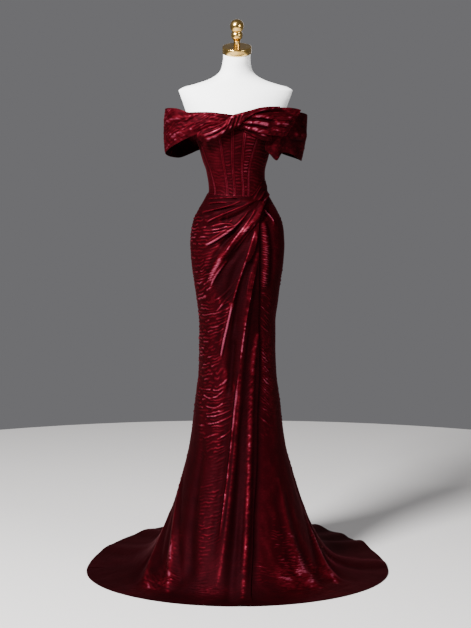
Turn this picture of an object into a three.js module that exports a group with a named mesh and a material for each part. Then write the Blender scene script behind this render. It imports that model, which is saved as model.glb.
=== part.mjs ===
// Mermaid gown of crinkled velvet on a limbless dress form with a cap and finial.
// Millimetres, +Z up, origin on the floor under the middle of the form, front towards -Y.
// Angles go round the body from +X: -90 is the front, 90 the back, 180 and -180 the left side.
import * as THREE from 'three';

// Driving sizes
const SEAM_GAP = 0.3;
const WAIST_GAP = 0.7;
const SKIRT_CLOTH = 2.6;
const BODICE_CLOTH = 2.4;
const BAND_CLOTH = 2.4;
const BODICE_EASE = 1.5;
const BODICE_RADIUS = 95;
const BONING_RAISE = 0.9;
const BONING_WIDTH = 7;
const WRAP_LIFT = 4.6;
const LAP_WIDTH = 28;
const LAP_BLEND = 60;
const LAP_FROM = -140;
const UNDER_BLEND = 18;
const THIN_HEM = 0.4;
const NECK_TILT = 22;
const NECK_CENTRE = { x: -2, y: -16, z: 1706 };
const CAP_RADIUS = 47;
const CAP_HEIGHT = 22;
const POLE_RADIUS = 12;
const SOCKET_RADIUS = 24;
const SOCKET_TOP = 50;
const BASE_RADIUS = 140;
const BASE_HEIGHT = 12;

// Colours and finishes
const VELVET = { color: 0x5e0a1c, roughness: 0.85, metalness: 0 };
const LINEN = { color: 0xf0efec, roughness: 0.75, metalness: 0 };
const BRASS = { color: 0xc9a24a, roughness: 0.25, metalness: 1 };

function table(names, rows) {
  return rows.map((row) => Object.fromEntries(names.map((name, i) => [name, row[i]])));
}

// Torso of the form: half width, depth to the front and back, where its middle lies, forward tilt
const TORSO = table(['z', 'half', 'front', 'back', 'midX', 'midY', 'tilt'], [
  [1706, 44, 44, 46, -2, -16, 22],
  [1690, 44, 45, 47, -2, -13, 21],
  [1672, 46, 46, 48, -3, -9, 18],
  [1654, 51, 49, 51, -3, -5, 13],
  [1638, 64, 53, 55, -4, -2, 8],
  [1622, 92, 58, 60, -5, 0, 3],
  [1607, 137, 62, 64, -6, 0, 0],
  [1597, 172, 65, 68, -6, 0, 0],
  [1585, 187, 70, 73, -6, 0, 0],
  [1565, 184, 79, 82, -6, 0, 0],
  [1541, 176, 88, 90, -6, 0, 0],
  [1500, 160, 101, 96, -7, 0, 0],
  [1470, 142, 108, 98, -8, 0, 0],
  [1440, 127, 109, 95, -8, 0, 0],
  [1400, 112, 102, 90, -8, 0, 0],
  [1364, 102, 95, 86, -8, 0, 0],
  [1325, 91, 88, 83, -6, 0, 0],
  [1286, 88.5, 85, 82, -2, 0, 0],
  [1262, 89.5, 85, 84, 0, 0, 0],
  [1251, 92, 85.3, 84.8, 0, 0, 0],
  [1240, 96, 86, 86, 0, 0, 0],
  [1207, 113, 90, 96, 0, 0, 0],
  [1168, 130, 94, 108, 0, 0, 0],
  [1130, 138, 96, 115, 0, 0, 0],
  [1090, 140, 97, 116, 0, 0, 0],
  [1045, 137, 96, 111, 0, 0, 0],
  [1010, 132, 94, 104, 0, 0, 0],
]);
const TORSO_SIDES = 24;
const TORSO_STEP = 30;
const CUP_EASE = 1.35;
const ARMHOLE = { from: 1400, half: 184, z: 1585, slope: 0.357 };
const CUPS = table(['x', 'z', 'wide', 'tall', 'high'], [
  [-72, 1440, 36, 38, 10],
  [56, 1440, 36, 38, 10],
]);

// Outer form of the skirt, from the waist seam to the hem that lies on the floor
const SKIRT = table(['z', 'half', 'front', 'back'], [
  [1300, 92.5, 89.5, 87],
  [1266, 93.5, 89.5, 88.5],
  [1247, 103, 91.5, 92],
  [1227, 114, 95.5, 98],
  [1207, 125.5, 99, 105],
  [1168, 144, 104, 118],
  [1130, 152, 107, 126],
  [1090, 154.5, 109, 129],
  [1030, 151, 110, 127],
  [971, 142.5, 110, 121],
  [912, 134.5, 109, 115],
  [832, 125.5, 107, 110],
  [752, 125.7, 108, 112],
  [672, 128.5, 112, 122],
  [572, 140.5, 121, 148],
  [491, 150, 133, 180],
  [410, 163, 150, 218],
  [329, 183.5, 175, 262],
  [248, 207, 208, 312],
  [166, 236, 250, 368],
  [100, 268, 290, 424],
  [50, 305, 325, 478],
  [20, 352, 356, 535],
  [6, 425, 385, 598],
  [2.6, 505, 409, 660],
]);

// Waist seam: it dips at the front and rises to the side where the drape is gathered
const WAIST_SEAM = table(['deg', 'z'], [
  [-180, 1257],
  [-135, 1250],
  [-92, 1246],
  [-66, 1245],
  [-52, 1260],
  [-33, 1287],
  [-10, 1297],
  [0, 1298],
  [40, 1288],
  [90, 1268],
  [140, 1259],
  [180, 1257],
]);

// Heights of the skirt's rows on its side seams
const ROW_HEIGHTS = [
  1257, 1240, 1222, 1200, 1188, 1176, 1163, 1146, 1122, 1094, 1064, 1032, 1000, 965, 925, 880, 830, 780,
  725, 665, 605, 545, 485, 425, 365, 310, 255, 205, 155, 110, 72, 42, 20, 9, 5, 2.6,
];

// Free edge of the wrap, for the row that starts at this height on the left side seam
const WRAP_EDGE = table(['row', 'deg', 'z'], [
  [1257, 0, 1298],
  [1240, 0, 1281],
  [1222, 0, 1266],
  [1200, 0, 1250],
  [1188, -11, 1247.5],
  [1176, -22, 1243],
  [1163, -32, 1234],
  [1146, -43, 1221],
  [1122, -53, 1204],
  [1094, -60, 1182],
  [1060, -63, 1156],
  [1000, -64, 1120],
  [935, -64, 1045],
  [860, -61, 940],
  [780, -58.5, 820],
  [700, -58, 700],
  [560, -64, 560],
  [393, -69, 393],
  [246, -76, 246],
  [109, -80, 109],
  [2.6, -84, 2.6],
]);
const WRAP_EDGE_FIRST_FREE_ROW = 1200;
const WRAP_ROW_CURVE = 1.6;
const LAP_TURN = 1198;
const LAP_TOP = 1251;

// Upper edge of the panel that lies under the wrap, and how its rows slope
const UNDER_TOP = table(['deg', 'z'], [
  [-74, 1190],
  [-57, 1218],
  [-46, 1234],
  [-34, 1245],
  [-23, 1248],
  [-11.5, 1246],
  [0, 1247.5],
]);
const UNDER_ROWS = table(['side', 'inner'], [
  [1247.5, 1190],
  [1200, 1160],
  [1135, 1116],
  [1060, 1054],
  [1000, 1000],
  [2.6, 2.6],
]);

// Folds: a soft ridge, or a trough where high is negative, from start through mid to end
const FOLDS = table(
  ['deg0', 'z0', 'deg1', 'z1', 'deg2', 'z2', 'wide0', 'high0', 'wide2', 'high2'], [
    [-146, 1230, -106, 1232, -66, 1237, 6, 3, 6, 4],
    [-157, 1192, -105, 1213, -54, 1248, 9, 4, 8, 5],
    [-140, 1157, -99, 1196, -33, 1256, 10, 5, 9, 6],
    [-137, 1079, -94, 1151, -43, 1236, 10, 5, 8, 6],
    [-130, 951, -94, 1100, -37, 1238, 13, 8, 10, 11],
    [-118, 718, -89, 968, -63, 1164, 13, 5, 9, 8],
    [-80, 1033, -71, 1077, -65, 1128, 7, 4, 6, 4],
    [-102, 40, -86, 687, -66, 1061, 24, 15, 11, 6],
    [-88, 12, -73, 574, -60, 799, 17, 12, 9, 5],
    [-125, 12, -147, 137, -176, 353, 22, 12, 12, 3],
    [-137, 12, -166, 90, -177, 230, 26, 13, 14, 3],
    [-92, 6, -91, 280, -78, 590, 24, -9, 14, -4],
    [-117, 30, -132, 236, -136, 488, 26, -9, 16, -4],
    [-54, 961, -54, 1074, -58, 1180, 10, 8, 8, 7],
    [-34, 12, -16, 91, -3, 217, 24, 12, 14, 3],
    [-36, 1150, -41, 1182, -47, 1208, 6, 3, 5, 3],
    [-46, 12, -45, 120, -44, 330, 24, 8, 14, 2],
    [4, 4, 5, 190, 6, 420, 34, 9, 18, 2],
    [26, 2.6, 25, 170, 22, 430, 38, 6, 20, 3],
    [52, 2.6, 50, 190, 46, 480, 42, 7, 20, 3],
    [78, 2.6, 76, 170, 74, 440, 44, 15, 22, 3],
    [106, 2.6, 106, 190, 107, 470, 44, 17, 22, 3],
    [133, 2.6, 134, 170, 136, 440, 40, 6, 20, 3],
    [158, 2.6, 160, 170, 163, 400, 36, 4, 20, 3],
    [160, 1140, 128, 1185, 97, 1236, 12, 2, 10, 4],
    [152, 1050, 120, 1120, 94, 1205, 14, 2, 10, 4],
    [20, 1150, 48, 1190, 82, 1230, 12, 3, 10, 4],
  ]);
const FOLD_STEPS = 16;
const FOLD_END_FADE = 0.14;
const SEAM_FADE = 22;
const HEM_START = 10;
const RIPPLES = { from: 24, to: 72, end: 8, waves: 7, high: 8, reach: 34, low: 3 };

// Vertical seams of the bodice: angle at the top and at the waist
const BODICE_SEAMS = table(['deg', 'mid', 'low'], [
  [-180, -180, -180],
  [-165, -151, -140],
  [-114, -112, -110],
  [-93, -94.5, -95.5],
  [-75, -77, -79],
  [-50, -60, -69],
  [0, 0, 0],
  [45, 45, 45],
  [90, 90, 90],
  [135, 135, 135],
  [180, 180, 180],
]);
const BODICE_PANELS = [
  'bodice_side_left', 'bodice_cup_left', 'bodice_centre_left', 'bodice_centre_right',
  'bodice_cup_right', 'bodice_side_right', 'bodice_back_side_right', 'bodice_back_right',
  'bodice_back_left', 'bodice_back_side_left',
];
const BODICE_TOP = table(['deg', 'z'], [
  [-180, 1462],
  [-140, 1478],
  [-93, 1488],
  [-45, 1484],
  [0, 1462],
  [90, 1446],
  [180, 1462],
]);
const BODICE_ROWS = 7;
const BODICE_COLUMN = 20;

// Lengthwise strips of the shoulder band and its twist: upper and lower edge at each station
const EDGES = ['x0', 'y0', 'z0', 'x1', 'y1', 'z1', 'bulge'];
const BAND_LEFT = table(EDGES, [
  [-6, -110, 1502, -4, -113, 1466, 2],
  [-50, -110, 1508, -49, -115, 1464, 4],
  [-85, -106, 1512, -87, -110, 1461, 6],
  [-122, -97, 1513, -122, -96, 1446, 9],
  [-152, -82, 1513, -161, -78, 1431, 10],
  [-197, -58, 1527, -198, -56, 1413, 8],
  [-225, -24, 1530, -224, -22, 1398, 6],
  [-235, 8, 1529, -235, 10, 1385, 5],
  [-223, 42, 1520, -221, 44, 1376, 5],
  [-198, 68, 1508, -195, 68, 1373, 5],
  [-165, 88, 1497, -158, 86, 1386, 5],
  [-128, 92, 1489, -128, 90, 1399, 4],
  [-85, 98, 1481, -85, 96, 1409, 2],
  [-42, 98, 1475, -42, 96, 1416, 1],
  [-0.2, 98, 1472, -0.2, 96, 1419, 0],
]);
const BAND_RIGHT = table(EDGES, [
  [82, -104, 1508, 88, -90, 1396, 3],
  [104, -102, 1513, 105, -84, 1378, 4],
  [122, -97, 1515, 125, -81, 1360, 6],
  [142, -90, 1515, 146, -74, 1386, 8],
  [174, -78, 1516, 170, -62, 1382, 8],
  [204, -50, 1514, 192, -38, 1371, 7],
  [222, -18, 1511, 206, -8, 1363, 6],
  [227, 14, 1508, 209, 16, 1361, 5],
  [218, 46, 1502, 202, 44, 1366, 5],
  [196, 70, 1496, 182, 68, 1374, 5],
  [163, 90, 1490, 152, 87, 1385, 5],
  [128, 92, 1485, 124, 90, 1397, 4],
  [85, 98, 1480, 85, 96, 1408, 2],
  [42, 98, 1475, 42, 96, 1416, 1],
  [0.2, 98, 1472, 0.2, 96, 1419, 0],
]);
const TWIST_OVER = table(EDGES, [
  [-126, -111.7, 1448, -130, -108.7, 1431, 2],
  [-107, -118.7, 1457, -108, -115.7, 1417, 5],
  [-78, -126.7, 1466, -77, -123.7, 1420, 7],
  [-47, -131.7, 1478, -43, -129.7, 1437, 7],
  [-27, -133.7, 1493, -12, -131.7, 1456, 6],
  [-10, -134.7, 1503, 7, -133.7, 1467, 6],
  [12, -133.7, 1509, 25, -134.7, 1485, 5],
  [38, -130.7, 1516, 45, -132.7, 1500, 4],
  [70, -125.7, 1525, 74, -127.7, 1513, 3],
  [102, -118.7, 1529, 104, -120.7, 1520, 2],
  [134, -108.7, 1530, 135, -109.7, 1524, 1],
]);
const TWIST_FAN = table(EDGES, [
  [-2, -126.1, 1478, 0, -125.1, 1460, 1],
  [20, -125.6, 1490, 24, -127.1, 1457, 3],
  [42, -125.6, 1503, 46, -128.1, 1451, 5],
  [66, -122.1, 1515.5, 72, -127.1, 1444, 7],
  [95, -115.1, 1523, 98, -122.1, 1439, 8],
  [125, -106.1, 1527, 122, -114.1, 1437, 7],
  [160, -92.1, 1527, 139, -106.1, 1435, 6],
  [186, -79.1, 1525, 149, -98.1, 1436, 4],
  [203, -69.1, 1521, 155, -93.1, 1437, 2],
]);
const TWIST_UNDER = table(EDGES, [
  [4, -115.5, 1472, 8, -114.5, 1453, 1],
  [30, -116.5, 1466, 33, -115.5, 1444, 3],
  [55, -117.5, 1459, 58, -115.5, 1432, 4],
  [80, -114.5, 1451, 82, -112.5, 1422, 5],
  [97, -109.5, 1445, 99, -107.5, 1421, 4],
  [107, -104.5, 1440, 108, -103.5, 1428, 2],
]);

// Pleats of the strips: station and share of the width at both ends, half width and height
const PLEAT = ['s0', 'v0', 's1', 'v1', 'wide', 'high'];
const BAND_LEFT_PLEATS = table(PLEAT, [
  [0, 0.5, 2.9, 0.06, 8, 4],
  [2.9, 0.06, 6.9, 0.46, 8, 6],
  [0, 0.75, 2.6, 0.6, 7, 4],
  [3.2, 0.75, 6.2, 0.72, 9, 3],
  [7.5, 0.4, 12, 0.5, 12, 4],
]);
const BAND_RIGHT_PLEATS = table(PLEAT, [
  [4, 0.55, 7, 0.45, 12, 4],
  [7.5, 0.4, 12, 0.5, 12, 4],
]);
const TWIST_OVER_PLEATS = table(PLEAT, [
  [0.4, 0.5, 4, 0.3, 6, 5],
  [1, 0.8, 5, 0.62, 5, 4],
  [4, 0.1, 7, 0.2, 5, 4],
  [4, 0.85, 7, 0.8, 5, 3],
]);
const TWIST_FAN_PLEATS = table(PLEAT, [
  [2.4, 0.24, 5, 0.41, 6, 7],
  [0.6, 0.4, 4.5, 0.67, 6.5, 7],
  [0.8, 0.82, 3.6, 0.92, 6, 5],
  [4.6, 0.55, 7.4, 0.5, 12, 4],
]);
const TWIST_UNDER_PLEATS = table(PLEAT, [
  [0.4, 0.35, 4.4, 0.4, 7, 5],
  [0.4, 0.9, 2.4, 0.9, 5, 3],
]);

// Finial on the cap: height above the cap and radius
const FINIAL = table(['h', 'r'], [
  [0, 10.5],
  [18, 10.5],
  [22, 12],
  [27, 16.5],
  [33, 18.7],
  [40, 18.7],
  [46, 16.2],
  [48.5, 15],
  [52, 18],
  [59, 21.2],
  [66, 22],
  [73, 20.8],
  [80, 16.5],
  [85, 10.5],
  [88, 0],
]);

const RAD = Math.PI / 180;
const clamp = (value, low, high) => Math.min(high, Math.max(low, value));
const mix = (a, b, share) => a + (b - a) * share;
const smooth = (low, high, value) => {
  const t = clamp((value - low) / (high - low), 0, 1);
  return t * t * (3 - 2 * t);
};

// Monotone cubic curve of one column of a table against another
function curve(rows, by, name) {
  const sorted = [...rows].sort((a, b) => a[by] - b[by]);
  const x = sorted.map((row) => row[by]);
  const y = sorted.map((row) => row[name]);
  const slope = x.slice(1).map((right, i) => (y[i + 1] - y[i]) / (right - x[i]));
  const tangent = x.map((_, i) => {
    if (i === 0) return slope[0];
    if (i === x.length - 1) return slope[i - 1];
    if (slope[i - 1] * slope[i] <= 0) return 0;
    return 2 * slope[i - 1] * slope[i] / (slope[i - 1] + slope[i]);
  });
  return (value) => {
    const at = clamp(value, x[0], x[x.length - 1]);
    let i = 0;
    while (i < x.length - 2 && at > x[i + 1]) i += 1;
    const h = x[i + 1] - x[i];
    const t = (at - x[i]) / h;
    const rest = 1 - t;
    return rest * rest * (1 + 2 * t) * y[i] + t * t * (3 - 2 * t) * y[i + 1]
      + h * t * rest * (rest * tangent[i] - t * tangent[i + 1]);
  };
}

function curves(rows, by) {
  const names = Object.keys(rows[0]).filter((name) => name !== by);
  return Object.fromEntries(names.map((name) => [name, curve(rows, by, name)]));
}

const torso = curves(TORSO, 'z');
const skirt = curves(SKIRT, 'z');
const waistSeam = curve(WAIST_SEAM, 'deg', 'z');
const bodiceTop = curve(BODICE_TOP, 'deg', 'z');
const wrapEdge = curves(WRAP_EDGE, 'row');
const underTop = curve(UNDER_TOP, 'deg', 'z');
const underInner = curve(UNDER_ROWS, 'side', 'inner');
const edgeByHeight = curve(WRAP_EDGE.filter((row) => row.z < LAP_TURN + 1), 'z', 'deg');
const edgeByAngle = curve(WRAP_EDGE.filter((row) => row.z > LAP_TURN - 1 && row.z < LAP_TOP), 'deg', 'z');

function aroundSection(deg, half, front, back) {
  const side = Math.sin(deg * RAD);
  return [half * Math.cos(deg * RAD), (side < 0 ? front : back) * side];
}

// Point on the torso's surface
function torsoPoint(deg, z, cupShare = 1) {
  const [x0, y0] = aroundSection(deg, torso.half(z), torso.front(z), torso.back(z));
  const limit = ARMHOLE.half - ARMHOLE.slope * (ARMHOLE.z - z);
  let x = z > ARMHOLE.from ? clamp(x0, -limit, limit) : x0;
  let y = y0;
  x += torso.midX(z);
  for (const cup of CUPS) {
    const across = (x - cup.x) / cup.wide;
    const up = (z - cup.z) / cup.tall;
    y += cupShare * cup.high * Math.exp(-across * across - up * up) * Math.min(0, Math.sin(deg * RAD));
  }
  const tilted = z + y0 * Math.tan(torso.tilt(z) * RAD);
  return new THREE.Vector3(x, y + torso.midY(z), tilted);
}

// The cups of the bodice stand a little fuller than the form under them
const bodiceForm = (deg, z) => torsoPoint(deg, z, CUP_EASE);

// Length down the cloth from the waist, and mean radius, for fold distances on the skirt
const radiusAt = (z) => (2 * skirt.half(z) + skirt.front(z) + skirt.back(z)) / 4;
const DROPS = [];
for (let i = 0, drop = 0; i <= 400; i += 1) {
  const z = mix(1300, 2.6, i / 400);
  const before = DROPS[i - 1];
  if (before) drop += Math.hypot(before.z - z, radiusAt(z) - radiusAt(before.z));
  DROPS.push({ z, drop });
}
const dropAt = curve(DROPS, 'z', 'drop');

// Path on the skirt as points of angle, drop and share of its length
function pathOnSkirt(start, mid, end) {
  const points = [];
  for (let i = 0; i <= FOLD_STEPS; i += 1) {
    const t = i / FOLD_STEPS;
    const weights = [(1 - t) * (1 - 2 * t), 4 * t * (1 - t), t * (2 * t - 1)];
    const along = (a, b, c) => a * weights[0] + b * weights[1] + c * weights[2];
    points.push({ deg: along(start[0], mid[0], end[0]), drop: along(start[1], mid[1], end[1]), t });
  }
  return points;
}

// Nearest distance in mm from a place on the skirt to a path, and where along it
function nearest(path, deg, drop, radius) {
  let best = { distance: Infinity, t: 0 };
  for (let i = 1; i < path.length; i += 1) {
    const a = path[i - 1];
    const b = path[i];
    const ax = (deg - a.deg) * RAD * radius;
    const ay = drop - a.drop;
    const bx = (b.deg - a.deg) * RAD * radius;
    const by = b.drop - a.drop;
    const share = clamp((ax * bx + ay * by) / (bx * bx + by * by + 1e-9), 0, 1);
    const distance = Math.hypot(ax - bx * share, ay - by * share);
    if (distance < best.distance) best = { distance, t: mix(a.t, b.t, share) };
  }
  return best;
}

const ridge = (distance, wide) => {
  const near = Math.exp(-((distance / wide) ** 2));
  const beside = Math.exp(-(((distance - 1.9 * wide) / (0.8 * wide)) ** 2));
  return near - 0.4 * beside;
};

const foldPaths = FOLDS.map((fold) => {
  const places = [0, 1, 2].map((i) => [fold[`deg${i}`], dropAt(fold[`z${i}`])]);
  return { fold, path: pathOnSkirt(...places) };
});

const freeEdge = ROW_HEIGHTS.filter((row) => row <= WRAP_EDGE_FIRST_FREE_ROW).map((row, i, all) => (
  { deg: wrapEdge.deg(row), drop: dropAt(wrapEdge.z(row)), t: i / all.length }));

// Small waves of the hem at the right of the train
function rippleHeight(deg, z) {
  const { from, to, end, waves, high, reach, low } = RIPPLES;
  const wave = Math.sin((deg - from) / (to - from) * waves * Math.PI);
  const inside = smooth(from - end, from + end, deg) * smooth(-to - end, -to + end, -deg);
  return high * (0.5 + 0.5 * wave) * inside * smooth(reach, low, z);
}

// Height of all folds above the skirt's plain form
function foldHeight(deg, z) {
  const radius = radiusAt(z);
  const drop = dropAt(z);
  let height = 0;
  for (const { fold, path } of foldPaths) {
    const { distance, t } = nearest(path, deg + 360 * Math.round((fold.deg1 - deg) / 360), drop, radius);
    const wide = mix(fold.wide0, fold.wide2, t);
    if (distance > 4 * wide) continue;
    const start = fold.z0 < HEM_START ? 1 : smooth(0, FOLD_END_FADE, t);
    const fade = Math.min(start, smooth(0, FOLD_END_FADE, 1 - t));
    const high = mix(fold.high0, fold.high2, t) * fade;
    height += high > 0 ? high * ridge(distance, wide) : high * Math.exp(-((distance / wide) ** 2));
  }
  height += rippleHeight(deg, z);
  return height * smooth(0, SEAM_FADE, waistSeam(deg) - z);
}

const edgeDistance = (deg, z) => nearest(freeEdge, deg, dropAt(z), radiusAt(z)).distance;

// Folds of the wrap, which stands off the panel that it laps over
function wrapHeight(deg, z) {
  const height = foldHeight(deg, z);
  if (deg > 0 || deg < LAP_FROM) return height;
  const overLap = 1 - smooth(LAP_WIDTH, LAP_WIDTH + LAP_BLEND, edgeDistance(deg, z));
  const lift = WRAP_LIFT * smooth(1, 8, -deg) * smooth(0, SEAM_FADE, waistSeam(deg) - z);
  return mix(height, Math.max(height, 0) + lift, overLap);
}

// The panel under the wrap is plain where it is lapped
function underHeight(deg, z) {
  const lapped = z > LAP_TURN ? z > edgeByAngle(deg) : deg < edgeByHeight(z);
  return lapped ? 0 : foldHeight(deg, z) * smooth(0, UNDER_BLEND, edgeDistance(deg, z));
}

// Near the waist seam the folds stand out level; slopes are measured above this height
const LEVEL_FORM = 60;
const LEVEL_CLOTH = 40;
const LOWEST = 1.6;

function skirtForm(deg, z, raise) {
  const [x, y] = aroundSection(deg, skirt.half(z), skirt.front(z), skirt.back(z));
  const [x1, y1] = aroundSection(deg + 0.5, skirt.half(z), skirt.front(z), skirt.back(z));
  const [x2, y2] = aroundSection(deg - 0.5, skirt.half(z), skirt.front(z), skirt.back(z));
  const down = Math.max(z - 1, LOWEST);
  const up = down + 2;
  const [xd, yd] = aroundSection(deg, skirt.half(down), skirt.front(down), skirt.back(down));
  const [xu, yu] = aroundSection(deg, skirt.half(up), skirt.front(up), skirt.back(up));
  const along = new THREE.Vector3(x1 - x2, y1 - y2, 0);
  const upward = new THREE.Vector3(xu - xd, yu - yd, up - down);
  const out = along.cross(upward);
  out.z *= smooth(0, LEVEL_FORM, waistSeam(deg) - z);
  out.normalize();
  return new THREE.Vector3(x, y, z).addScaledVector(out, raise);
}

const skirtPoint = (deg, z) => skirtForm(deg, z, foldHeight(deg, z));
const wrapPoint = (deg, z) => skirtForm(deg, z, wrapHeight(deg, z));
const underPoint = (deg, z) => skirtForm(deg, z, underHeight(deg, z));

// Outward direction of a surface of angle and height
function outward(surface, deg, z, level) {
  const along = surface(deg + 0.4, z).sub(surface(deg - 0.4, z));
  const low = Math.max(z - 1, LOWEST);
  const upward = surface(deg, low + 2).sub(surface(deg, low));
  const out = along.cross(upward);
  out.z *= level;
  return out.normalize();
}

// Closed wall from two grids of points with the same rows and columns
function wall(outer, inner) {
  const rows = outer.length;
  const columns = outer[0].length;
  const positions = [...outer.flat(), ...inner.flat()].flatMap((p) => [p.x, p.y, p.z]);
  const at = (side, row, column) => side * rows * columns + row * columns + column;
  const index = [];
  const face = (a, b, c, d) => index.push(a, b, c, a, c, d);
  for (let r = 1; r < rows; r += 1) {
    for (let c = 1; c < columns; c += 1) {
      face(at(0, r - 1, c - 1), at(0, r, c - 1), at(0, r, c), at(0, r - 1, c));
      face(at(1, r - 1, c), at(1, r, c), at(1, r, c - 1), at(1, r - 1, c - 1));
    }
  }
  for (let c = 1; c < columns; c += 1) {
    face(at(0, 0, c - 1), at(0, 0, c), at(1, 0, c), at(1, 0, c - 1));
    face(at(0, rows - 1, c), at(0, rows - 1, c - 1), at(1, rows - 1, c - 1), at(1, rows - 1, c));
  }
  const last = columns - 1;
  for (let r = 1; r < rows; r += 1) {
    face(at(0, r, 0), at(0, r - 1, 0), at(1, r - 1, 0), at(1, r, 0));
    face(at(0, r - 1, last), at(0, r, last), at(1, r, last), at(1, r - 1, last));
  }
  return geometryOf(positions, index);
}

function geometryOf(positions, index) {
  const geometry = new THREE.BufferGeometry();
  geometry.setAttribute('position', new THREE.Float32BufferAttribute(positions, 3));
  geometry.setIndex(index);
  geometry.computeVertexNormals();
  return geometry;
}

const garment = new THREE.Group();
function add(name, geometry, finish) {
  const mesh = new THREE.Mesh(geometry, new THREE.MeshStandardMaterial(finish));
  mesh.name = name;
  garment.add(mesh);
  return mesh;
}

// Skirt panel: places gives the angle and height of every row and column
function skirtPanel(name, places, surface) {
  const outer = [];
  const inner = [];
  for (const row of places) {
    const top = [];
    const below = [];
    for (const { deg, z } of row) {
      const point = surface(deg, z);
      const out = outward(surface, deg, z, smooth(0, LEVEL_CLOTH, waistSeam(deg) - z));
      point.z = Math.max(point.z, SKIRT_CLOTH);
      const under = point.clone().addScaledVector(out, -SKIRT_CLOTH);
      under.z = clamp(under.z, 0, point.z - THIN_HEM);
      top.push(point);
      below.push(under);
    }
    outer.push(top);
    inner.push(below);
  }
  add(name, wall(outer, inner), VELVET);
}

// Shift in degrees that makes half a seam gap at this height
const halfGap = (z) => SEAM_GAP / 2 / radiusAt(z) / RAD;
const seamTop = (deg) => waistSeam(deg) - WAIST_GAP / 2;
const HEM = ROW_HEIGHTS[ROW_HEIGHTS.length - 1];
const TOP_ROW = ROW_HEIGHTS[0];
const RIGHT_SEAM_TOP = WRAP_EDGE[0].z;

// Row heights away from the side seams follow the waist seam near the top
const ROW_REACH = 240;
const rowFade = (row) => 1 - smooth(0, ROW_REACH, TOP_ROW - row);

// Gathered wrap: left side seam to its free edge
const WRAP_COLUMNS = 29;
const wrapPlaces = ROW_HEIGHTS.map((row) => {
  const places = [];
  const endDeg = wrapEdge.deg(row);
  const endZ = wrapEdge.z(row);
  for (let c = 0; c <= WRAP_COLUMNS; c += 1) {
    const u = c / WRAP_COLUMNS;
    const left = -180 + halfGap(row);
    const deg = mix(left, endDeg - halfGap(endZ), u);
    const rise = 1 - (1 - u) ** mix(1, WRAP_ROW_CURVE, rowFade(row));
    const topRise = 1 - (1 - u) ** WRAP_ROW_CURVE;
    const seam = seamTop(mix(left, -halfGap(endZ), u));
    const toSeam = seam - mix(TOP_ROW, RIGHT_SEAM_TOP, topRise);
    const z = mix(row, endZ, rise) + toSeam * rowFade(row);
    places.push({ deg, z: Math.max(z, HEM) });
  }
  return places;
});
skirtPanel('skirt_front_wrap', wrapPlaces, wrapPoint);

// Front panel under the wrap, to the right side seam
const UNDER_COLUMNS = 9;
const UNDER_FIRST_STEP = 12;
const UNDER_REACH = 110;
const LAP_CUT = LAP_WIDTH - 4;
const underStart = UNDER_ROWS[0].side;
const underHeights = [underStart, ...ROW_HEIGHTS.filter((row) => row < underStart - UNDER_FIRST_STEP)];
const underPlaces = underHeights.map((side) => {
  const innerZ = underInner(side);
  const innerDeg = edgeByHeight(innerZ) - LAP_CUT / radiusAt(innerZ) / RAD;
  const places = [];
  for (let c = 0; c <= UNDER_COLUMNS; c += 1) {
    const u = c / UNDER_COLUMNS;
    const deg = mix(innerDeg, -halfGap(side), u);
    const line = mix(innerZ, side, u);
    const bend = underTop(deg) - mix(UNDER_ROWS[0].inner, underStart, u);
    places.push({ deg, z: line + bend * (1 - smooth(0, UNDER_REACH, underStart - side)) });
  }
  return places;
});
skirtPanel('skirt_front_under', underPlaces, underPoint);

// Back panels with the train, meeting at the centre back
const BACK_COLUMNS = 13;
function backPanel(name, from, to) {
  const seamHeight = from === 0 ? RIGHT_SEAM_TOP : TOP_ROW;
  const places = ROW_HEIGHTS.map((row) => {
    const atSide = row + (seamHeight - TOP_ROW) * rowFade(row);
    const list = [];
    for (let c = 0; c <= BACK_COLUMNS; c += 1) {
      const u = c / BACK_COLUMNS;
      const deg = mix(from + halfGap(row), to - halfGap(row), u);
      const z = atSide + (seamTop(deg) - seamHeight) * rowFade(row);
      list.push({ deg, z: Math.max(z, HEM) });
    }
    return list;
  });
  skirtPanel(name, places, skirtPoint);
}
backPanel('skirt_back_right', 0, 90);
backPanel('skirt_back_left', 90, 180);

// Bodice panels between their seams, each seam raised by the boning under it
function bodicePanel(name, first, last) {
  const seamAt = ({ deg, mid, low }, v) => (v < 0.5 ? mix(deg, mid, v * 2) : mix(mid, low, v * 2 - 1));
  const gap = SEAM_GAP / 2 / BODICE_RADIUS / RAD;
  const strip = BONING_WIDTH / BODICE_RADIUS / RAD;
  const span = Math.abs(last.mid - first.mid) * RAD * BODICE_RADIUS;
  const middle = Math.max(2, Math.ceil((span - 2 * BONING_WIDTH) / BODICE_COLUMN));
  const outer = [];
  const inner = [];
  for (let r = 0; r < BODICE_ROWS; r += 1) {
    const v = r / (BODICE_ROWS - 1);
    const left = seamAt(first, v) + gap;
    const right = seamAt(last, v) - gap;
    const degs = [left];
    for (let c = 0; c <= middle; c += 1) degs.push(mix(left + strip, right - strip, c / middle));
    degs.push(right);
    const top = [];
    const below = [];
    degs.forEach((deg, c) => {
      const z = mix(bodiceTop(deg), waistSeam(deg) + WAIST_GAP / 2, v);
      const edge = c === 0 || c === degs.length - 1;
      const out = outward(bodiceForm, deg, z, 0);
      const base = bodiceForm(deg, z);
      top.push(base.clone().addScaledVector(out, BODICE_EASE + BODICE_CLOTH + (edge ? BONING_RAISE : 0)));
      below.push(base.clone().addScaledVector(out, BODICE_EASE));
    });
    outer.push(top);
    inner.push(below);
  }
  add(name, wall(outer, inner), VELVET);
}
BODICE_PANELS.forEach((name, i) => bodicePanel(name, BODICE_SEAMS[i], BODICE_SEAMS[i + 1]));

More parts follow.
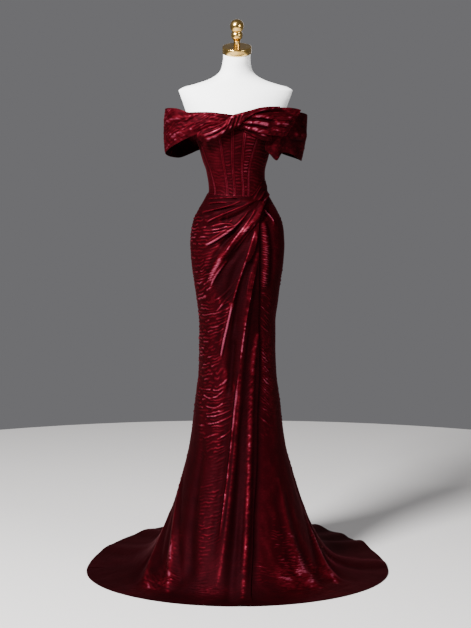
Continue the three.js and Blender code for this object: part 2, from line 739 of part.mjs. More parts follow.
// Moves a point of a strip out until its inner face clears the bodice or the torso
const BAND_SPACE = 0.6;
const BAND_CLEAR = BODICE_EASE + BODICE_CLOTH + BONING_RAISE + BAND_SPACE + BAND_CLOTH / 2;
const LOBE_CLEAR = BAND_CLEAR - 1.5;
const CLEAR_STEP = 0.5;
const CLEAR_STEPS = 80;
function clearOfBody(point, out, clear) {
  const moved = point.clone();
  for (let i = 0; i < CLEAR_STEPS; i += 1) {
    const half = torso.half(moved.z) + clear;
    const front = torso.front(moved.z) + clear;
    const back = torso.back(moved.z) + clear;
    const x = moved.x - torso.midX(moved.z);
    let cupRise = 0;
    for (const cup of CUPS) {
      const across = (moved.x - cup.x) / cup.wide;
      const up = (moved.z - cup.z) / cup.tall;
      cupRise += CUP_EASE * cup.high * Math.exp(-across * across - up * up);
    }
    const depth = moved.y < 0 ? front + cupRise : back;
    if ((x / half) ** 2 + (moved.y / depth) ** 2 >= 1) return moved;
    moved.addScaledVector(out, CLEAR_STEP);
  }
  return moved;
}

// Strip of the band: smooth edges through its stations, bulged and pleated outwards
const PLEAT_END = 0.15;
const PLEAT_BEYOND = 10;
function strip(name, stations, pleats, columns, rows, wraps, clear) {
  const numbered = stations.map((station, s) => ({ ...station, s }));
  const edges = curves(numbered, 's');
  const last = stations.length - 1;
  const length = stations.slice(1).reduce((sum, b, i) => {
    const a = stations[i];
    return sum + Math.hypot(b.x0 - a.x0, b.y0 - a.y0, b.z0 - a.z0);
  }, 0);
  const perStation = length / last;
  const raise = (s, v) => {
    const wide = Math.hypot(edges.x1(s) - edges.x0(s), edges.z1(s) - edges.z0(s));
    let height = edges.bulge(s) * Math.sin(Math.PI * v);
    for (const pleat of pleats) {
      const t = clamp((s - pleat.s0) / (pleat.s1 - pleat.s0), 0, 1);
      const beyond = Math.max(pleat.s0 - s, s - pleat.s1, 0) * perStation;
      const across = (v - mix(pleat.v0, pleat.v1, t)) * wide;
      const ends = smooth(0, PLEAT_END, t) * smooth(0, PLEAT_END, 1 - t);
      const near = Math.exp(-((across / pleat.wide) ** 2) - (beyond / PLEAT_BEYOND) ** 2);
      height += pleat.high * ends * near;
    }
    return height;
  };
  const bare = (s, v) => new THREE.Vector3(
    mix(edges.x0(s), edges.x1(s), v), mix(edges.y0(s), edges.y1(s), v), mix(edges.z0(s), edges.z1(s), v));
  const outAt = (s) => {
    const a = Math.max(s - 0.3, 0);
    const b = Math.min(s + 0.3, last);
    const along = bare(b, 0.5).sub(bare(a, 0.5));
    along.z = 0;
    const out = new THREE.Vector3(along.y, -along.x, 0).normalize();
    return wraps < 0 ? out.negate() : out;
  };
  const outer = [];
  const inner = [];
  for (let r = 0; r <= rows; r += 1) {
    const v = r / rows;
    const top = [];
    const below = [];
    for (let c = 0; c <= columns; c += 1) {
      const s = last * (wraps > 0 ? c : columns - c) / columns;
      const out = outAt(s);
      const base = clearOfBody(bare(s, v), out, clear);
      const height = raise(s, v);
      top.push(base.clone().addScaledVector(out, height + BAND_CLOTH / 2));
      below.push(base.clone().addScaledVector(out, height - BAND_CLOTH / 2));
    }
    outer.push(top);
    inner.push(below);
  }
  add(name, wall(outer, inner), VELVET);
}

strip('band_left', BAND_LEFT, BAND_LEFT_PLEATS, 28, 7, -1, BAND_CLEAR);
strip('band_right', BAND_RIGHT, BAND_RIGHT_PLEATS, 26, 6, 1, BAND_CLEAR);
strip('twist_over', TWIST_OVER, TWIST_OVER_PLEATS, 20, 7, 1, BAND_CLEAR);
strip('twist_fan', TWIST_FAN, TWIST_FAN_PLEATS, 16, 10, 1, BAND_CLEAR);
strip('twist_under', TWIST_UNDER, TWIST_UNDER_PLEATS, 10, 6, 1, LOBE_CLEAR);

// Torso of the form: rings from its flat bottom to the tilted top of the neck
function torsoGeometry() {
  const heights = TORSO.flatMap((row, i) => {
    const next = TORSO[i + 1];
    return next && row.z - next.z > TORSO_STEP ? [row.z, (row.z + next.z) / 2] : [row.z];
  }).reverse();
  const positions = [];
  heights.forEach((z) => {
    for (let c = 0; c < TORSO_SIDES; c += 1) {
      const p = torsoPoint(360 * c / TORSO_SIDES - 180, z);
      positions.push(p.x, p.y, p.z);
    }
  });
  const bottom = positions.length / 3;
  const low = TORSO[TORSO.length - 1];
  positions.push(low.midX, low.midY, low.z);
  positions.push(NECK_CENTRE.x, NECK_CENTRE.y, NECK_CENTRE.z);
  const index = [];
  const lastRing = (heights.length - 1) * TORSO_SIDES;
  for (let c = 0; c < TORSO_SIDES; c += 1) {
    const next = (c + 1) % TORSO_SIDES;
    index.push(bottom, next, c);
    index.push(bottom + 1, lastRing + c, lastRing + next);
    for (let r = 1; r < heights.length; r += 1) {
      const a = (r - 1) * TORSO_SIDES;
      const b = r * TORSO_SIDES;
      index.push(a + c, a + next, b + next, a + c, b + next, b + c);
    }
  }
  return geometryOf(positions, index);
}
add('form_torso', torsoGeometry(), LINEN);

// Turned pieces: profile of radius and height, round the Z axis
function turned(profile, sides) {
  const points = profile.map(([r, z]) => new THREE.Vector2(r, z));
  const geometry = new THREE.LatheGeometry(points, sides);
  geometry.rotateX(Math.PI / 2);
  return geometry;
}

const neckAxis = new THREE.Group();
neckAxis.position.set(NECK_CENTRE.x, NECK_CENTRE.y, NECK_CENTRE.z);
neckAxis.rotation.x = NECK_TILT * RAD;
garment.add(neckAxis);

const capLow = SEAM_GAP;
const capTop = capLow + CAP_HEIGHT;
const cap = add('form_neck_cap', turned([
  [0, capLow],
  [CAP_RADIUS - 1.5, capLow],
  [CAP_RADIUS, capLow + 1.5],
  [CAP_RADIUS, capTop - 3],
  [CAP_RADIUS - 1, capTop - 1],
  [CAP_RADIUS - 3, capTop],
  [0, capTop],
], 30), BRASS);
neckAxis.add(cap);

const finialLow = capTop + SEAM_GAP;
const finialProfile = [[0, finialLow], ...FINIAL.map(({ h, r }) => [r, finialLow + h])];
const finial = add('form_finial', turned(finialProfile, 16), BRASS);
neckAxis.add(finial);

// Pole and foot inside the skirt
const torsoBottom = TORSO[TORSO.length - 1].z;
add('form_pole', turned([
  [0, SOCKET_TOP + SEAM_GAP],
  [POLE_RADIUS, SOCKET_TOP + SEAM_GAP],
  [POLE_RADIUS, torsoBottom - SEAM_GAP],
  [0, torsoBottom - SEAM_GAP],
], 16), BRASS);
add('form_base', turned([
  [0, 0],
  [BASE_RADIUS, 0],
  [BASE_RADIUS, BASE_HEIGHT - 3],
  [BASE_RADIUS - 3, BASE_HEIGHT],
  [SOCKET_RADIUS, BASE_HEIGHT + 4],
  [SOCKET_RADIUS, SOCKET_TOP],
  [0, SOCKET_TOP],
], 32), BRASS);

export default garment;
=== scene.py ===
"""Mermaid gown of crinkled velvet on a limbless dress form.

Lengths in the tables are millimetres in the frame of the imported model: +Z up, front towards -Y.
Angles go round the body from +X: -90 is the front, 90 the back, 180 and -180 the left side.
"""
import math

import bpy
import numpy as np
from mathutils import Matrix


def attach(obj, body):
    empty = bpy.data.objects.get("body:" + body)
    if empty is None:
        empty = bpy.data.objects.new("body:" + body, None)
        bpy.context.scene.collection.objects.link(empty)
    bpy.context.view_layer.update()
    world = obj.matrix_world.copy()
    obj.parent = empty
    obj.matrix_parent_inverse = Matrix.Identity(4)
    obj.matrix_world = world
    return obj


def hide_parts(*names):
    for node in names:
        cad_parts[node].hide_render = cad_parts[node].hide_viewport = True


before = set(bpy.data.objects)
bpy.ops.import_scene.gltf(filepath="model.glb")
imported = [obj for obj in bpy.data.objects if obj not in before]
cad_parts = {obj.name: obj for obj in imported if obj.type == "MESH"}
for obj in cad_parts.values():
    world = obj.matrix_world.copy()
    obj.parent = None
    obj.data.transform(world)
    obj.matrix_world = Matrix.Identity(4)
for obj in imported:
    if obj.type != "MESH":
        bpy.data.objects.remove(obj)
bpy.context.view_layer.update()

METRE = 0.001
FAR = 1e9
TINY = 1e-9

# Cloth and form sizes
SEAM_GAP = 0.3
WAIST_GAP = 0.7
CLOTH = 1.6
HEM_CLOTH = 2.6
HEM_REACH = 30
HEM_THINNEST = 0.4
BODICE_EASE = 1.5
BODICE_CLOTH = 2.4
BONING_RAISE = 0.9
BONING_WIDE = 2.6
# Distance from the seam of the painted highlight line beside the boning
BONING_AT = 1.8
PIPING_RAISE = 1.0
SEAM_DIP = 0.8
SEAM_DIP_WIDE = 0.7
INSIDE_SEAM = (3, 8)
BODICE_CRINKLES = 1.6
BODICE_SWELL = 0.35
# Painted shading of the bodice: column step of its blur, and strength and half width of the painted
# highlight line beside the boning
BODICE_SHADING_STEP = 2.6
BONING_HIGHLIGHT = 0.75
BONING_HIGHLIGHT_WIDE = 0.9
TUCK_CLOTH = 0.8
# Allowance of the bodice turned in behind the skirt: how far down and how far off the form
TUCK = ((0.2, 1.6), (4.6, 1.2))
# Allowance of a bodice seam turned in behind the next panel: how far aside and how deep
SEAM_TURN = ((0.1, 1.8), (3.0, 2.1))
BODICE_RADIUS = 95
BAND_CLOTH = 2.4
BAND_CLEAR = 6.6
LOBE_CLEAR = BAND_CLEAR - 1.5
CUP_EASE = 1.35
ARMHOLE_HALF = 184
ARMHOLE_Z = 1585
ARMHOLE_SLOPE = 0.357
ARMHOLE_FROM = 1400
WRAP_LIFT = 4.6
LAP_WIDTH = 28
LAP_BLEND = 60
UNDER_LAP = 24
UNDER_BEND = 110
ROW_FADE = 240
# Left of this angle the wrap laps over nothing, and between these it lifts off the panel under it
LAP_END = -140
LIFT_ANGLES = (1, 8)
UNDER_BLEND = 18
SEAM_FADE = 22
# Below the waist seam the cloth's outward direction stays level over these lengths
FORM_LEVEL = 60
PANEL_LEVEL = 40
GUIDE_RISE = 0.2
FOLD_END_FADE = 0.14
# Folds that start below this height run on to the hem
FLOOR_FOLD = 10
TORSO_LOW = 1010
SHOULDERS = 1580
NECK_TOP = 1706
NECK_TILT = 22
NECK_CENTRE = (-2, -16, NECK_TOP)
CAP_RADIUS = 47
CAP_HEIGHT = 22
CAP_ROUND = 3
CAP_BEVEL = 1.5
CAP_SLOPE = 12
FINIAL_TOP = 87.8
FINIAL_TIP = 0.8

# Rows and columns of the meshes, and the spacing of points where they follow from it
SKIRT_ROWS = 641
UNDER_PANEL_ROWS = 841
WRAP_COLUMNS = 121
UNDER_COLUMNS = 65
BACK_COLUMNS = 75
BODICE_ROWS = 121
BODICE_SPACING = 5.2
BODICE_EDGE_SPACING = (0, 0.6, 1.4, 2.4, 3.6, 5.0, 6.6)
BAND_SPACING = 2.6
TWIST_SPACING = 1.8
TORSO_SIDES = 144
TORSO_ROWS = 90
NECK_ROWS = 64
NECK_SIDES = 64
# Edges sharper than these angles stay sharp
CLOTH_SHARP_ANGLE = 58
FORM_SHARP_ANGLE = 50


def lines_of(text):
    """Words of each line."""
    return [line.split() for line in text.strip().splitlines()]


def table(names, text):
    """Columns by name, from text with one row a line."""
    columns = zip(*lines_of(text))
    return {name: np.array(column, float) for name, column in zip(names.split(), columns)}


TORSO = table("z half front back midX midY tilt", """
1706 44 44 46 -2 -16 22
1690 44 45 47 -2 -13 21
1672 46 46 48 -3 -9 18
1654 51 49 51 -3 -5 13
1638 64 53 55 -4 -2 8
1622 92 58 60 -5 0 3
1607 137 62 64 -6 0 0
1597 172 65 68 -6 0 0
1585 187 70 73 -6 0 0
1565 184 79 82 -6 0 0
1541 176 88 90 -6 0 0
1500 160 101 96 -7 0 0
1470 142 108 98 -8 0 0
1440 127 109 95 -8 0 0
1400 112 102 90 -8 0 0
1364 102 95 86 -8 0 0
1325 91 88 83 -6 0 0
1286 88.5 85 82 -2 0 0
1262 89.5 85 84 0 0 0
1251 92 85.3 84.8 0 0 0
1240 96 86 86 0 0 0
1207 113 90 96 0 0 0
1168 130 94 108 0 0 0
1130 138 96 115 0 0 0
1090 140 97 116 0 0 0
1045 137 96 111 0 0 0
1010 132 94 104 0 0 0
""")
CUPS = [(-72, 1440, 36, 38, 10), (56, 1440, 36, 38, 10)]

SKIRT = table("z half front back", """
1300 92.5 89.5 87
1266 93.5 89.5 88.5
1247 103 91.5 92
1227 114 95.5 98
1207 125.5 99 105
1168 144 104 118
1130 152 107 126
1090 154.5 109 129
1030 151 110 127
971 142.5 110 121
912 134.5 109 115
832 125.5 107 110
752 125.7 108 112
672 128.5 112 122
572 140.5 121 148
491 150 133 180
410 163 150 218
329 183.5 175 262
248 207 208 312
166 236 250 368
100 268 290 424
50 305 325 478
20 352 356 535
6 425 385 598
2.6 505 409 660
""")
WAIST_SEAM = table("deg z", """
-180 1257
-135 1250
-92 1246
-66 1245
-52 1260
-33 1287
-10 1297
0 1298
40 1288
90 1268
140 1259
180 1257
""")
WRAP_EDGE = table("row deg z", """
1257 0 1298
1240 0 1281
1222 0 1266
1200 0 1250
1188 -11 1247.5
1176 -22 1243
1163 -32 1234
1146 -43 1221
1122 -53 1204
1094 -60 1182
1060 -63 1156
1000 -64 1120
935 -64 1045
860 -61 940
780 -58.5 820
700 -58 700
560 -64 560
393 -69 393
246 -76 246
109 -80 109
2.6 -84 2.6
""")
TOP_ROW = 1257
HEM = 2.6
FREE_EDGE_ROW = 1200
WRAP_ROW_CURVE = 1.6
# The wrap's edge is looked up by height below the turn, and by angle from there to the top
LAP_TURN = 1198
EDGE_BY_ANGLE_TOP = 1251
EDGE_POINTS = 80
UNDER_TOP = table("deg z", """
-74 1190
-57 1218
-46 1234
-34 1245
-23 1248
-11.5 1246
0 1247.5
""")
UNDER_ROWS = table("side inner", """
1247.5 1190
1200 1160
1135 1116
1060 1054
1000 1000
2.6 2.6
""")

# Folds of the solids: a soft ridge, or a trough where high is negative
FOLD_COLUMNS = "deg0 z0 deg1 z1 deg2 z2 wide0 high0 wide2 high2"
FOLDS = table(FOLD_COLUMNS, """
-146 1230 -106 1232 -66 1237 6 3 6 4
-157 1192 -105 1213 -54 1248 9 4 8 5
-140 1157 -99 1196 -33 1256 10 5 9 6
-137 1079 -94 1151 -43 1236 10 5 8 6
-130 951 -94 1100 -37 1238 13 8 10 11
-118 718 -89 968 -63 1164 13 5 9 8
-80 1033 -71 1077 -65 1128 7 4 6 4
-102 40 -86 687 -66 1061 24 15 11 6
-88 12 -73 574 -60 799 17 12 9 5
-125 12 -147 137 -176 353 22 12 12 3
-137 12 -166 90 -177 230 26 13 14 3
-92 6 -91 280 -78 590 24 -9 14 -4
-117 30 -132 236 -136 488 26 -9 16 -4
-54 940 -54 1074 -58 1180 13 7 11 6
-34 12 -16 91 -3 217 24 12 14 3
-36 1150 -41 1182 -47 1208 6 3 5 3
-46 12 -45 120 -44 330 24 8 14 2
4 4 5 190 6 420 34 9 18 2
26 2.6 25 170 22 430 38 6 20 3
52 2.6 50 190 46 480 42 7 20 3
78 2.6 76 170 74 440 44 15 22 3
106 2.6 106 190 107 470 44 17 22 3
133 2.6 134 170 136 440 40 6 20 3
158 2.6 160 170 163 400 36 4 20 3
160 1140 128 1185 97 1236 12 2 10 4
152 1050 120 1120 94 1205 14 2 10 4
20 1150 48 1190 82 1230 12 3 10 4
""")
# Narrow creases between them, gathered to the right side, and their like on the back
CREASES = table(FOLD_COLUMNS, """
-155 1238 -112 1241 -76 1244 2.6 2.8 2.4 2.4
-152 1231 -114 1233 -86 1238 4.4 -3.4 3.6 -2.8
-145 1221 -125 1226 -104 1224 3 2.4 2.6 2
-152 1192 -113 1209 -82 1234 3 2.8 2.4 2.4
-128 1198 -104 1206 -75 1224 5 -3.6 4 -3.6
-132 1161 -112 1185 -64 1232 3.2 2.6 2.6 2.6
-114 1167 -91 1184 -63 1226 6 -4.4 4 -4
-127 1147 -110 1158 -94 1154 2.6 2.2 2.4 1.8
-125 1137 -109 1143 -94 1153 2.6 2.2 2.4 1.8
-124 1128 -111 1133 -101 1140 2.6 2 2.4 1.6
-134 1084 -101 1133 -73 1204 3.2 2.6 2.6 2.8
-114 1080 -92 1136 -70 1198 8 -5 5 -5
-108 1050 -82 1149 -62 1210 2.8 2.4 2.6 2.6
-95 1065 -80 1120 -66 1165 2.8 2 2.4 2
-100 1030 -84 1090 -70 1138 7 -4.6 5 -4.6
-116 722 -107 808 -97 900 3 3.6 2.8 3.2
-98 893 -83 1018 -68 1143 2.8 3.2 2.2 2.2
-96 800 -86 942 -78 1015 8 -5.4 6 -5
-103 600 -99 705 -95 790 11 -6 8 -5
-81 1033 -72 1064 -67 1121 2.4 2.2 2.2 2
-78 922 -76 971 -72 1009 2.6 1.8 2.2 1.6
-87 698 -78 853 -64 1058 2.6 2.8 2.2 2.2
-104 150 -97 450 -87 698 3.8 3.6 2.6 3
-37 1161 -43 1187 -47 1205 2.4 2.8 2.2 2.4
-64 1234 -48 1259 -33 1281 2.4 2.6 2.2 2.2
-57 1229 -42 1249 -25 1262 2.6 2.8 2.4 2.2
-51 1219 -37 1235 -15 1249 2.8 2.8 2.6 2.2
-60 1230 -45 1254 -28 1273 2.6 -2.8 2.4 -2.4
-54 1223 -39 1242 -19 1256 2.6 -2.6 2.4 -2.2
-125 909 -104 941 -89 994 2.4 1.8 2.2 1.6
-117 888 -106 914 -96 940 2.4 1.8 2.2 1.6
-123 873 -110 898 -98 914 2.4 1.8 2.2 1.6
-128 954 -114 1005 -101 1047 2.8 2.6 3 2.4
-146 604 -126 594 -108 625 2.6 2 2.4 1.8
-139 568 -122 563 -109 581 2.6 2 2.4 1.8
-135 534 -119 538 -96 562 2.6 2.2 2.4 1.8
-131 508 -114 519 -94 545 2.6 2 2.4 1.8
-117 460 -105 479 -95 504 2.6 1.6 2.4 1.2
168 1236 132 1238 96 1250 3 1.8 2.8 2.2
172 1196 140 1212 96 1240 3.6 2 3 2.6
150 1164 124 1190 98 1226 4 -3 3 -3
164 1110 130 1150 99 1212 3.6 2 3 2.4
146 1030 120 1090 98 1180 4 1.6 3 2
12 1220 40 1240 84 1250 3 2 2.6 2.2
16 1186 46 1214 84 1242 4 -2.6 3 -2.6
10 1176 44 1206 82 1240 3.6 2 3 2.4
24 1110 54 1150 84 1214 3.6 1.8 3 2.2
""")
CREASE_FADE = 7
# Waves of the hem: angles between which they lie, their number, height, reach upwards and ends
RIPPLE_FROM = 24
RIPPLE_TO = 72
RIPPLE_WAVES = 7
RIPPLE_HIGH = 8
RIPPLE_REACH = 34
RIPPLE_LOW = 3
RIPPLE_END = 8

# Right border of the crinkled part of the wrap
DRAPE_LINE = table("z deg", """
2.6 -100
100 -101.5
200 -103.5
473 -102
508 -96
543 -95
613 -92
655 -101
680 -107
702 -112
774 -109
859 -101
900 -99
922 -117
964 -126
1013 -114
1055 -112
1087 -108
1125 -99
1161 -91
1189 -106
1215 -129
1247 -170
""")

BODICE_SEAMS = table("deg mid low", """
-180 -180 -180
-165 -151 -140
-114 -112 -110
-93 -94.5 -95.5
-75 -77 -79
-50 -60 -69
0 0 0
45 45 45
90 90 90
135 135 135
180 180 180
""")
BODICE_TOP = table("deg z", """
-180 1462
-140 1478
-93 1488
-45 1484
0 1462
90 1446
180 1462
""")
# Bodice panels with the share of crinkles across each and how strongly its painted shading shows; below
# 1 the panel is painted darker, as in shade
BODICE_PANELS = [
    ("bodice_side_left", 0.12, 1),
    ("bodice_cup_left", 0.28, 1),
    ("bodice_centre_left", 0.9, 0.74),
    ("bodice_centre_right", 0.9, 0.74),
    ("bodice_cup_right", 1.0, 1),
    ("bodice_side_right", 0.5, 1),
    ("bodice_back_side_right", 0.5, 1),
    ("bodice_back_right", 0.7, 1),
    ("bodice_back_left", 0.7, 1),
    ("bodice_back_side_left", 0.4, 1),
]

# Strips of the shoulder band and its twist, each as three blocks of rows:
# upper and lower edge at each station and the bulge between them;
# pleats and then finer creases, by station and share of the width at both ends, half width and height
EDGES = "x0 y0 z0 x1 y1 z1 bulge"
PLEATS = "s0 v0 s1 v1 wide high"
STRIP_TABLES = {
    "band_left": """
-6 -110 1502 -4 -113 1466 2
-50 -110 1508 -49 -115 1464 4
-85 -106 1512 -87 -110 1461 6
-122 -97 1513 -122 -96 1446 9
-152 -82 1513 -161 -78 1431 10
-197 -58 1527 -198 -56 1413 8
-225 -24 1530 -224 -22 1398 6
-235 8 1529 -235 10 1385 5
-223 42 1520 -221 44 1376 5
-198 68 1508 -195 68 1373 5
-165 88 1497 -158 86 1386 5
-128 92 1489 -128 90 1399 4
-85 98 1481 -85 96 1409 2
-42 98 1475 -42 96 1416 1
-0.2 98 1472 -0.2 96 1419 0

0 0.5 2.9 0.06 8 4
2.9 0.06 6.9 0.46 8 6
0 0.75 2.6 0.6 7 4
3.2 0.75 6.2 0.72 9 3
7.5 0.4 12 0.5 12 4

3.4 0.24 4.3 0.44 2.6 -2
3.7 0.2 4.8 0.46 2.4 1.5
4.2 0.3 5.4 0.56 2.6 -2
4.7 0.42 5.9 0.62 2.4 1.4
3.2 0.52 4.4 0.7 2.6 -1.8
4.4 0.62 5.8 0.8 2.6 -1.8
3.6 0.84 5.6 0.9 2.4 1.2
0.2 0.32 2.7 0.1 3 -1.8
0.1 0.62 2.4 0.42 3 -1.8
0.4 0.2 3 0.02 2.4 1.2
8 0.25 11.5 0.4 4 -2
8.4 0.62 12.4 0.6 4 -2
9 0.78 12.6 0.72 3 1.4
""",
    "band_right": """
82 -104 1508 88 -90 1396 3
104 -102 1513 105 -84 1378 4
122 -97 1515 125 -81 1360 6
142 -90 1515 146 -74 1386 8
174 -78 1516 170 -62 1382 8
204 -50 1514 192 -38 1371 7
222 -18 1511 206 -8 1363 6
227 14 1508 209 16 1361 5
218 46 1502 202 44 1366 5
196 70 1496 182 68 1374 5
163 90 1490 152 87 1385 5
128 92 1485 124 90 1397 4
85 98 1480 85 96 1408 2
42 98 1475 42 96 1416 1
0.2 98 1472 0.2 96 1419 0

4 0.55 7 0.45 12 4
7.5 0.4 12 0.5 12 4

3.4 0.7 5.6 0.6 3 -1.6
4.4 0.28 6.8 0.34 3.4 -1.8
5.2 0.78 7.6 0.7 3 1.2
8 0.25 11.5 0.4 4 -2
8.4 0.62 12.4 0.6 4 -2
9 0.78 12.6 0.72 3 1.4
""",
    "twist_over": """
-126 -111.7 1448 -130 -108.7 1431 2
-107 -118.7 1457 -108 -115.7 1417 5
-78 -126.7 1466 -77 -123.7 1420 7
-47 -131.7 1478 -43 -129.7 1437 7
-27 -133.7 1493 -12 -131.7 1456 6
-10 -134.7 1503 7 -133.7 1467 6
12 -133.7 1509 25 -134.7 1485 5
38 -130.7 1516 45 -132.7 1500 4
70 -125.7 1525 74 -127.7 1513 3
102 -118.7 1529 104 -120.7 1520 2
134 -108.7 1530 135 -109.7 1524 1

0.4 0.5 4 0.3 6 5
1 0.8 5 0.62 5 4
4 0.1 7 0.2 5 4
4 0.85 7 0.8 5 3

0.9 0.16 3.6 0.1 2.2 -2.6
0.7 0.34 3.3 0.24 1.8 -2.8
1.3 0.64 4.2 0.46 2.2 -2.8
2.6 0.96 4.3 0.04 1.9 2.4
2.95 0.97 4.65 0.04 1.8 -2.4
3.3 0.97 5 0.04 1.9 2.6
3.65 0.97 5.35 0.04 1.8 -2.2
4 0.97 5.7 0.04 1.9 2.2
4.4 0.97 6.05 0.04 1.8 -2
4.8 0.95 6.4 0.06 1.8 1.8
5.4 0.5 9.6 0.5 2 -1.6
6 0.86 9.8 0.9 2 1.8
""",
    "twist_fan": """
-2 -126.1 1478 0 -125.1 1460 1
20 -125.6 1490 24 -127.1 1457 3
42 -125.6 1503 46 -128.1 1451 5
66 -122.1 1515.5 72 -127.1 1444 7
95 -115.1 1523 98 -122.1 1439 8
125 -106.1 1527 122 -114.1 1437 7
160 -92.1 1527 139 -106.1 1435 6
186 -79.1 1525 149 -98.1 1436 4
203 -69.1 1521 155 -93.1 1437 2

2.4 0.24 5 0.41 6 7
0.6 0.4 4.5 0.67 6.5 7
0.8 0.82 3.6 0.92 6 5
4.6 0.55 7.4 0.5 12 4

1.6 0.3 4.8 0.53 5 -6
0.6 0.6 4.4 0.79 4.5 -6
2.6 0.08 6.4 0.16 4.5 -3.5
2.5 0.2 4.8 0.36 1.8 2
1 0.36 4.2 0.6 1.8 2
3 0.34 4.9 0.46 1.8 1.6
4.4 0.22 7.2 0.26 2.2 -2
4.8 0.34 7 0.36 2.2 2
4.7 0.44 7.4 0.48 2.4 -2
4.8 0.56 7.2 0.6 2.2 2
4.5 0.66 7 0.72 2.4 -2
4.3 0.8 6.6 0.85 2.2 1.6
""",
    "twist_under": """
4 -115.5 1472 8 -114.5 1453 1
30 -116.5 1466 33 -115.5 1444 3
55 -117.5 1459 58 -115.5 1432 4
80 -114.5 1451 82 -112.5 1422 5
97 -109.5 1445 99 -107.5 1421 4
107 -104.5 1440 108 -103.5 1428 2

0.4 0.35 4.4 0.4 7 5
0.4 0.9 2.4 0.9 5 3

0.2 0.16 4.2 0.14 2.2 2.4
0.4 0.62 4 0.66 2.6 -2.4
""",
}

FINIAL = table("h r", """
0 10.5
18 10.5
22 12
27 16.5
33 18.7
40 18.7
46 16.2
48.5 15
52 18
59 21.2
66 22
73 20.8
80 16.5
85 10.5
88 0
""")


# Small helpers

def clamp01(value):
    return np.clip(value, 0, 1)


def smooth(low, high, value):
    t = clamp01((value - low) / (high - low))
    return t * t * (3 - 2 * t)


def mix(a, b, share):
    return a + (b - a) * share


def bell(across, along=0):
    """Bell curve over one distance, or over two at right angles, each counted in widths."""
    return np.exp(-(across ** 2) - along ** 2)


def curve(x, y):
    """Monotone cubic curve through points, as a function of an array."""
    order = np.argsort(x)
    x, y = x[order], y[order]
    step = np.diff(x)
    slope = np.diff(y) / step
    tangent = np.concatenate([slope[:1], np.zeros(len(x) - 2), slope[-1:]])
    product = slope[:-1] * slope[1:]
    total = np.where(product > 0, slope[:-1] + slope[1:], 1)
    tangent[1:-1] = np.where(product > 0, 2 * product / total, 0)

    def at(value):
        value = np.clip(value, x[0], x[-1])
        i = np.clip(np.searchsorted(x, value) - 1, 0, len(x) - 2)
        t = (value - x[i]) / step[i]
        rest = 1 - t
        ends = rest * rest * (1 + 2 * t) * y[i] + t * t * (3 - 2 * t) * y[i + 1]
        return ends + step[i] * t * rest * (rest * tangent[i] - t * tangent[i + 1])

    return at


def curves(rows, by):
    return {name: curve(rows[by], rows[name]) for name in rows if name != by}


def part_of(rows, keep):
    return {name: column[keep] for name, column in rows.items()}


def noise(seed):
    """Smooth noise between -1 and 1 as a function of two arrays."""
    size = 256
    lattice = np.random.default_rng(seed).uniform(-1, 1, (size, size))

    def at(x, y):
        column = np.floor(x).astype(int)
        row = np.floor(y).astype(int)
        fx = smooth(0, 1, x - column)
        fy = smooth(0, 1, y - row)
        left, right = column % size, (column + 1) % size
        low, high = row % size, (row + 1) % size
        below = mix(lattice[low, left], lattice[low, right], fx)
        above = mix(lattice[high, left], lattice[high, right], fx)
        return mix(below, above, fy)

    return at


def points_of(*grids):
    """Points from grids of their coordinates, or faces from those of their corners."""
    return np.stack(grids, axis=-1)


def unit(vectors):
    length = np.linalg.norm(vectors, axis=-1, keepdims=True)
    return vectors / np.maximum(length, TINY)


torso = curves(TORSO, "z")
skirt = curves(SKIRT, "z")
waist_seam = curve(WAIST_SEAM["deg"], WAIST_SEAM["z"])
bodice_top = curve(BODICE_TOP["deg"], BODICE_TOP["z"])
wrap_edge = curves(WRAP_EDGE, "row")
under_top = curve(UNDER_TOP["deg"], UNDER_TOP["z"])
under_inner = curve(UNDER_ROWS["side"], UNDER_ROWS["inner"])
drape_line = curve(DRAPE_LINE["z"], DRAPE_LINE["deg"])
below_turn = part_of(WRAP_EDGE, WRAP_EDGE["z"] < LAP_TURN + 1)
edge_by_height = curve(below_turn["z"], below_turn["deg"])
is_above_turn = (WRAP_EDGE["z"] > LAP_TURN - 1) & (WRAP_EDGE["z"] < EDGE_BY_ANGLE_TOP)
above_turn = part_of(WRAP_EDGE, is_above_turn)
edge_by_angle = curve(above_turn["deg"], above_turn["z"])


# Skirt form and its folds

def around(deg, half, front, back):
    side = np.sin(np.radians(deg))
    return half * np.cos(np.radians(deg)), np.where(side < 0, front, back) * side


def radius_at(z):
    """Mean radius of the skirt."""
    return (2 * skirt["half"](z) + skirt["front"](z) + skirt["back"](z)) / 4


def degree_at(z):
    """Length of one degree round the skirt."""
    return radius_at(z) * np.radians(1)


def arc(deg, z):
    """Length round the skirt of an angle."""
    return np.radians(deg) * radius_at(z)


def angle_of(length, z):
    """Angle round the skirt of a length."""
    return length / radius_at(z) / np.radians(1)


# Length along the cloth from the skirt's top row down to each height
DROP_HEIGHTS = np.linspace(SKIRT["z"][0], HEM, 401)
DROP_STEPS = np.hypot(np.diff(DROP_HEIGHTS), np.diff(radius_at(DROP_HEIGHTS)))
drop_at = curve(DROP_HEIGHTS, np.concatenate([[0], np.cumsum(DROP_STEPS)]))
height_at = curve(np.concatenate([[0], np.cumsum(DROP_STEPS)]), DROP_HEIGHTS)
PATH_STEPS = 16


def path_through(start, mid, end):
    """Points of a bent line through three places, with the share of its length at each."""
    t = np.linspace(0, 1, PATH_STEPS + 1)
    weights = np.stack([(1 - t) * (1 - 2 * t), 4 * t * (1 - t), t * (2 * t - 1)], axis=1)
    return np.column_stack([weights @ np.array([start, mid, end], float), t])


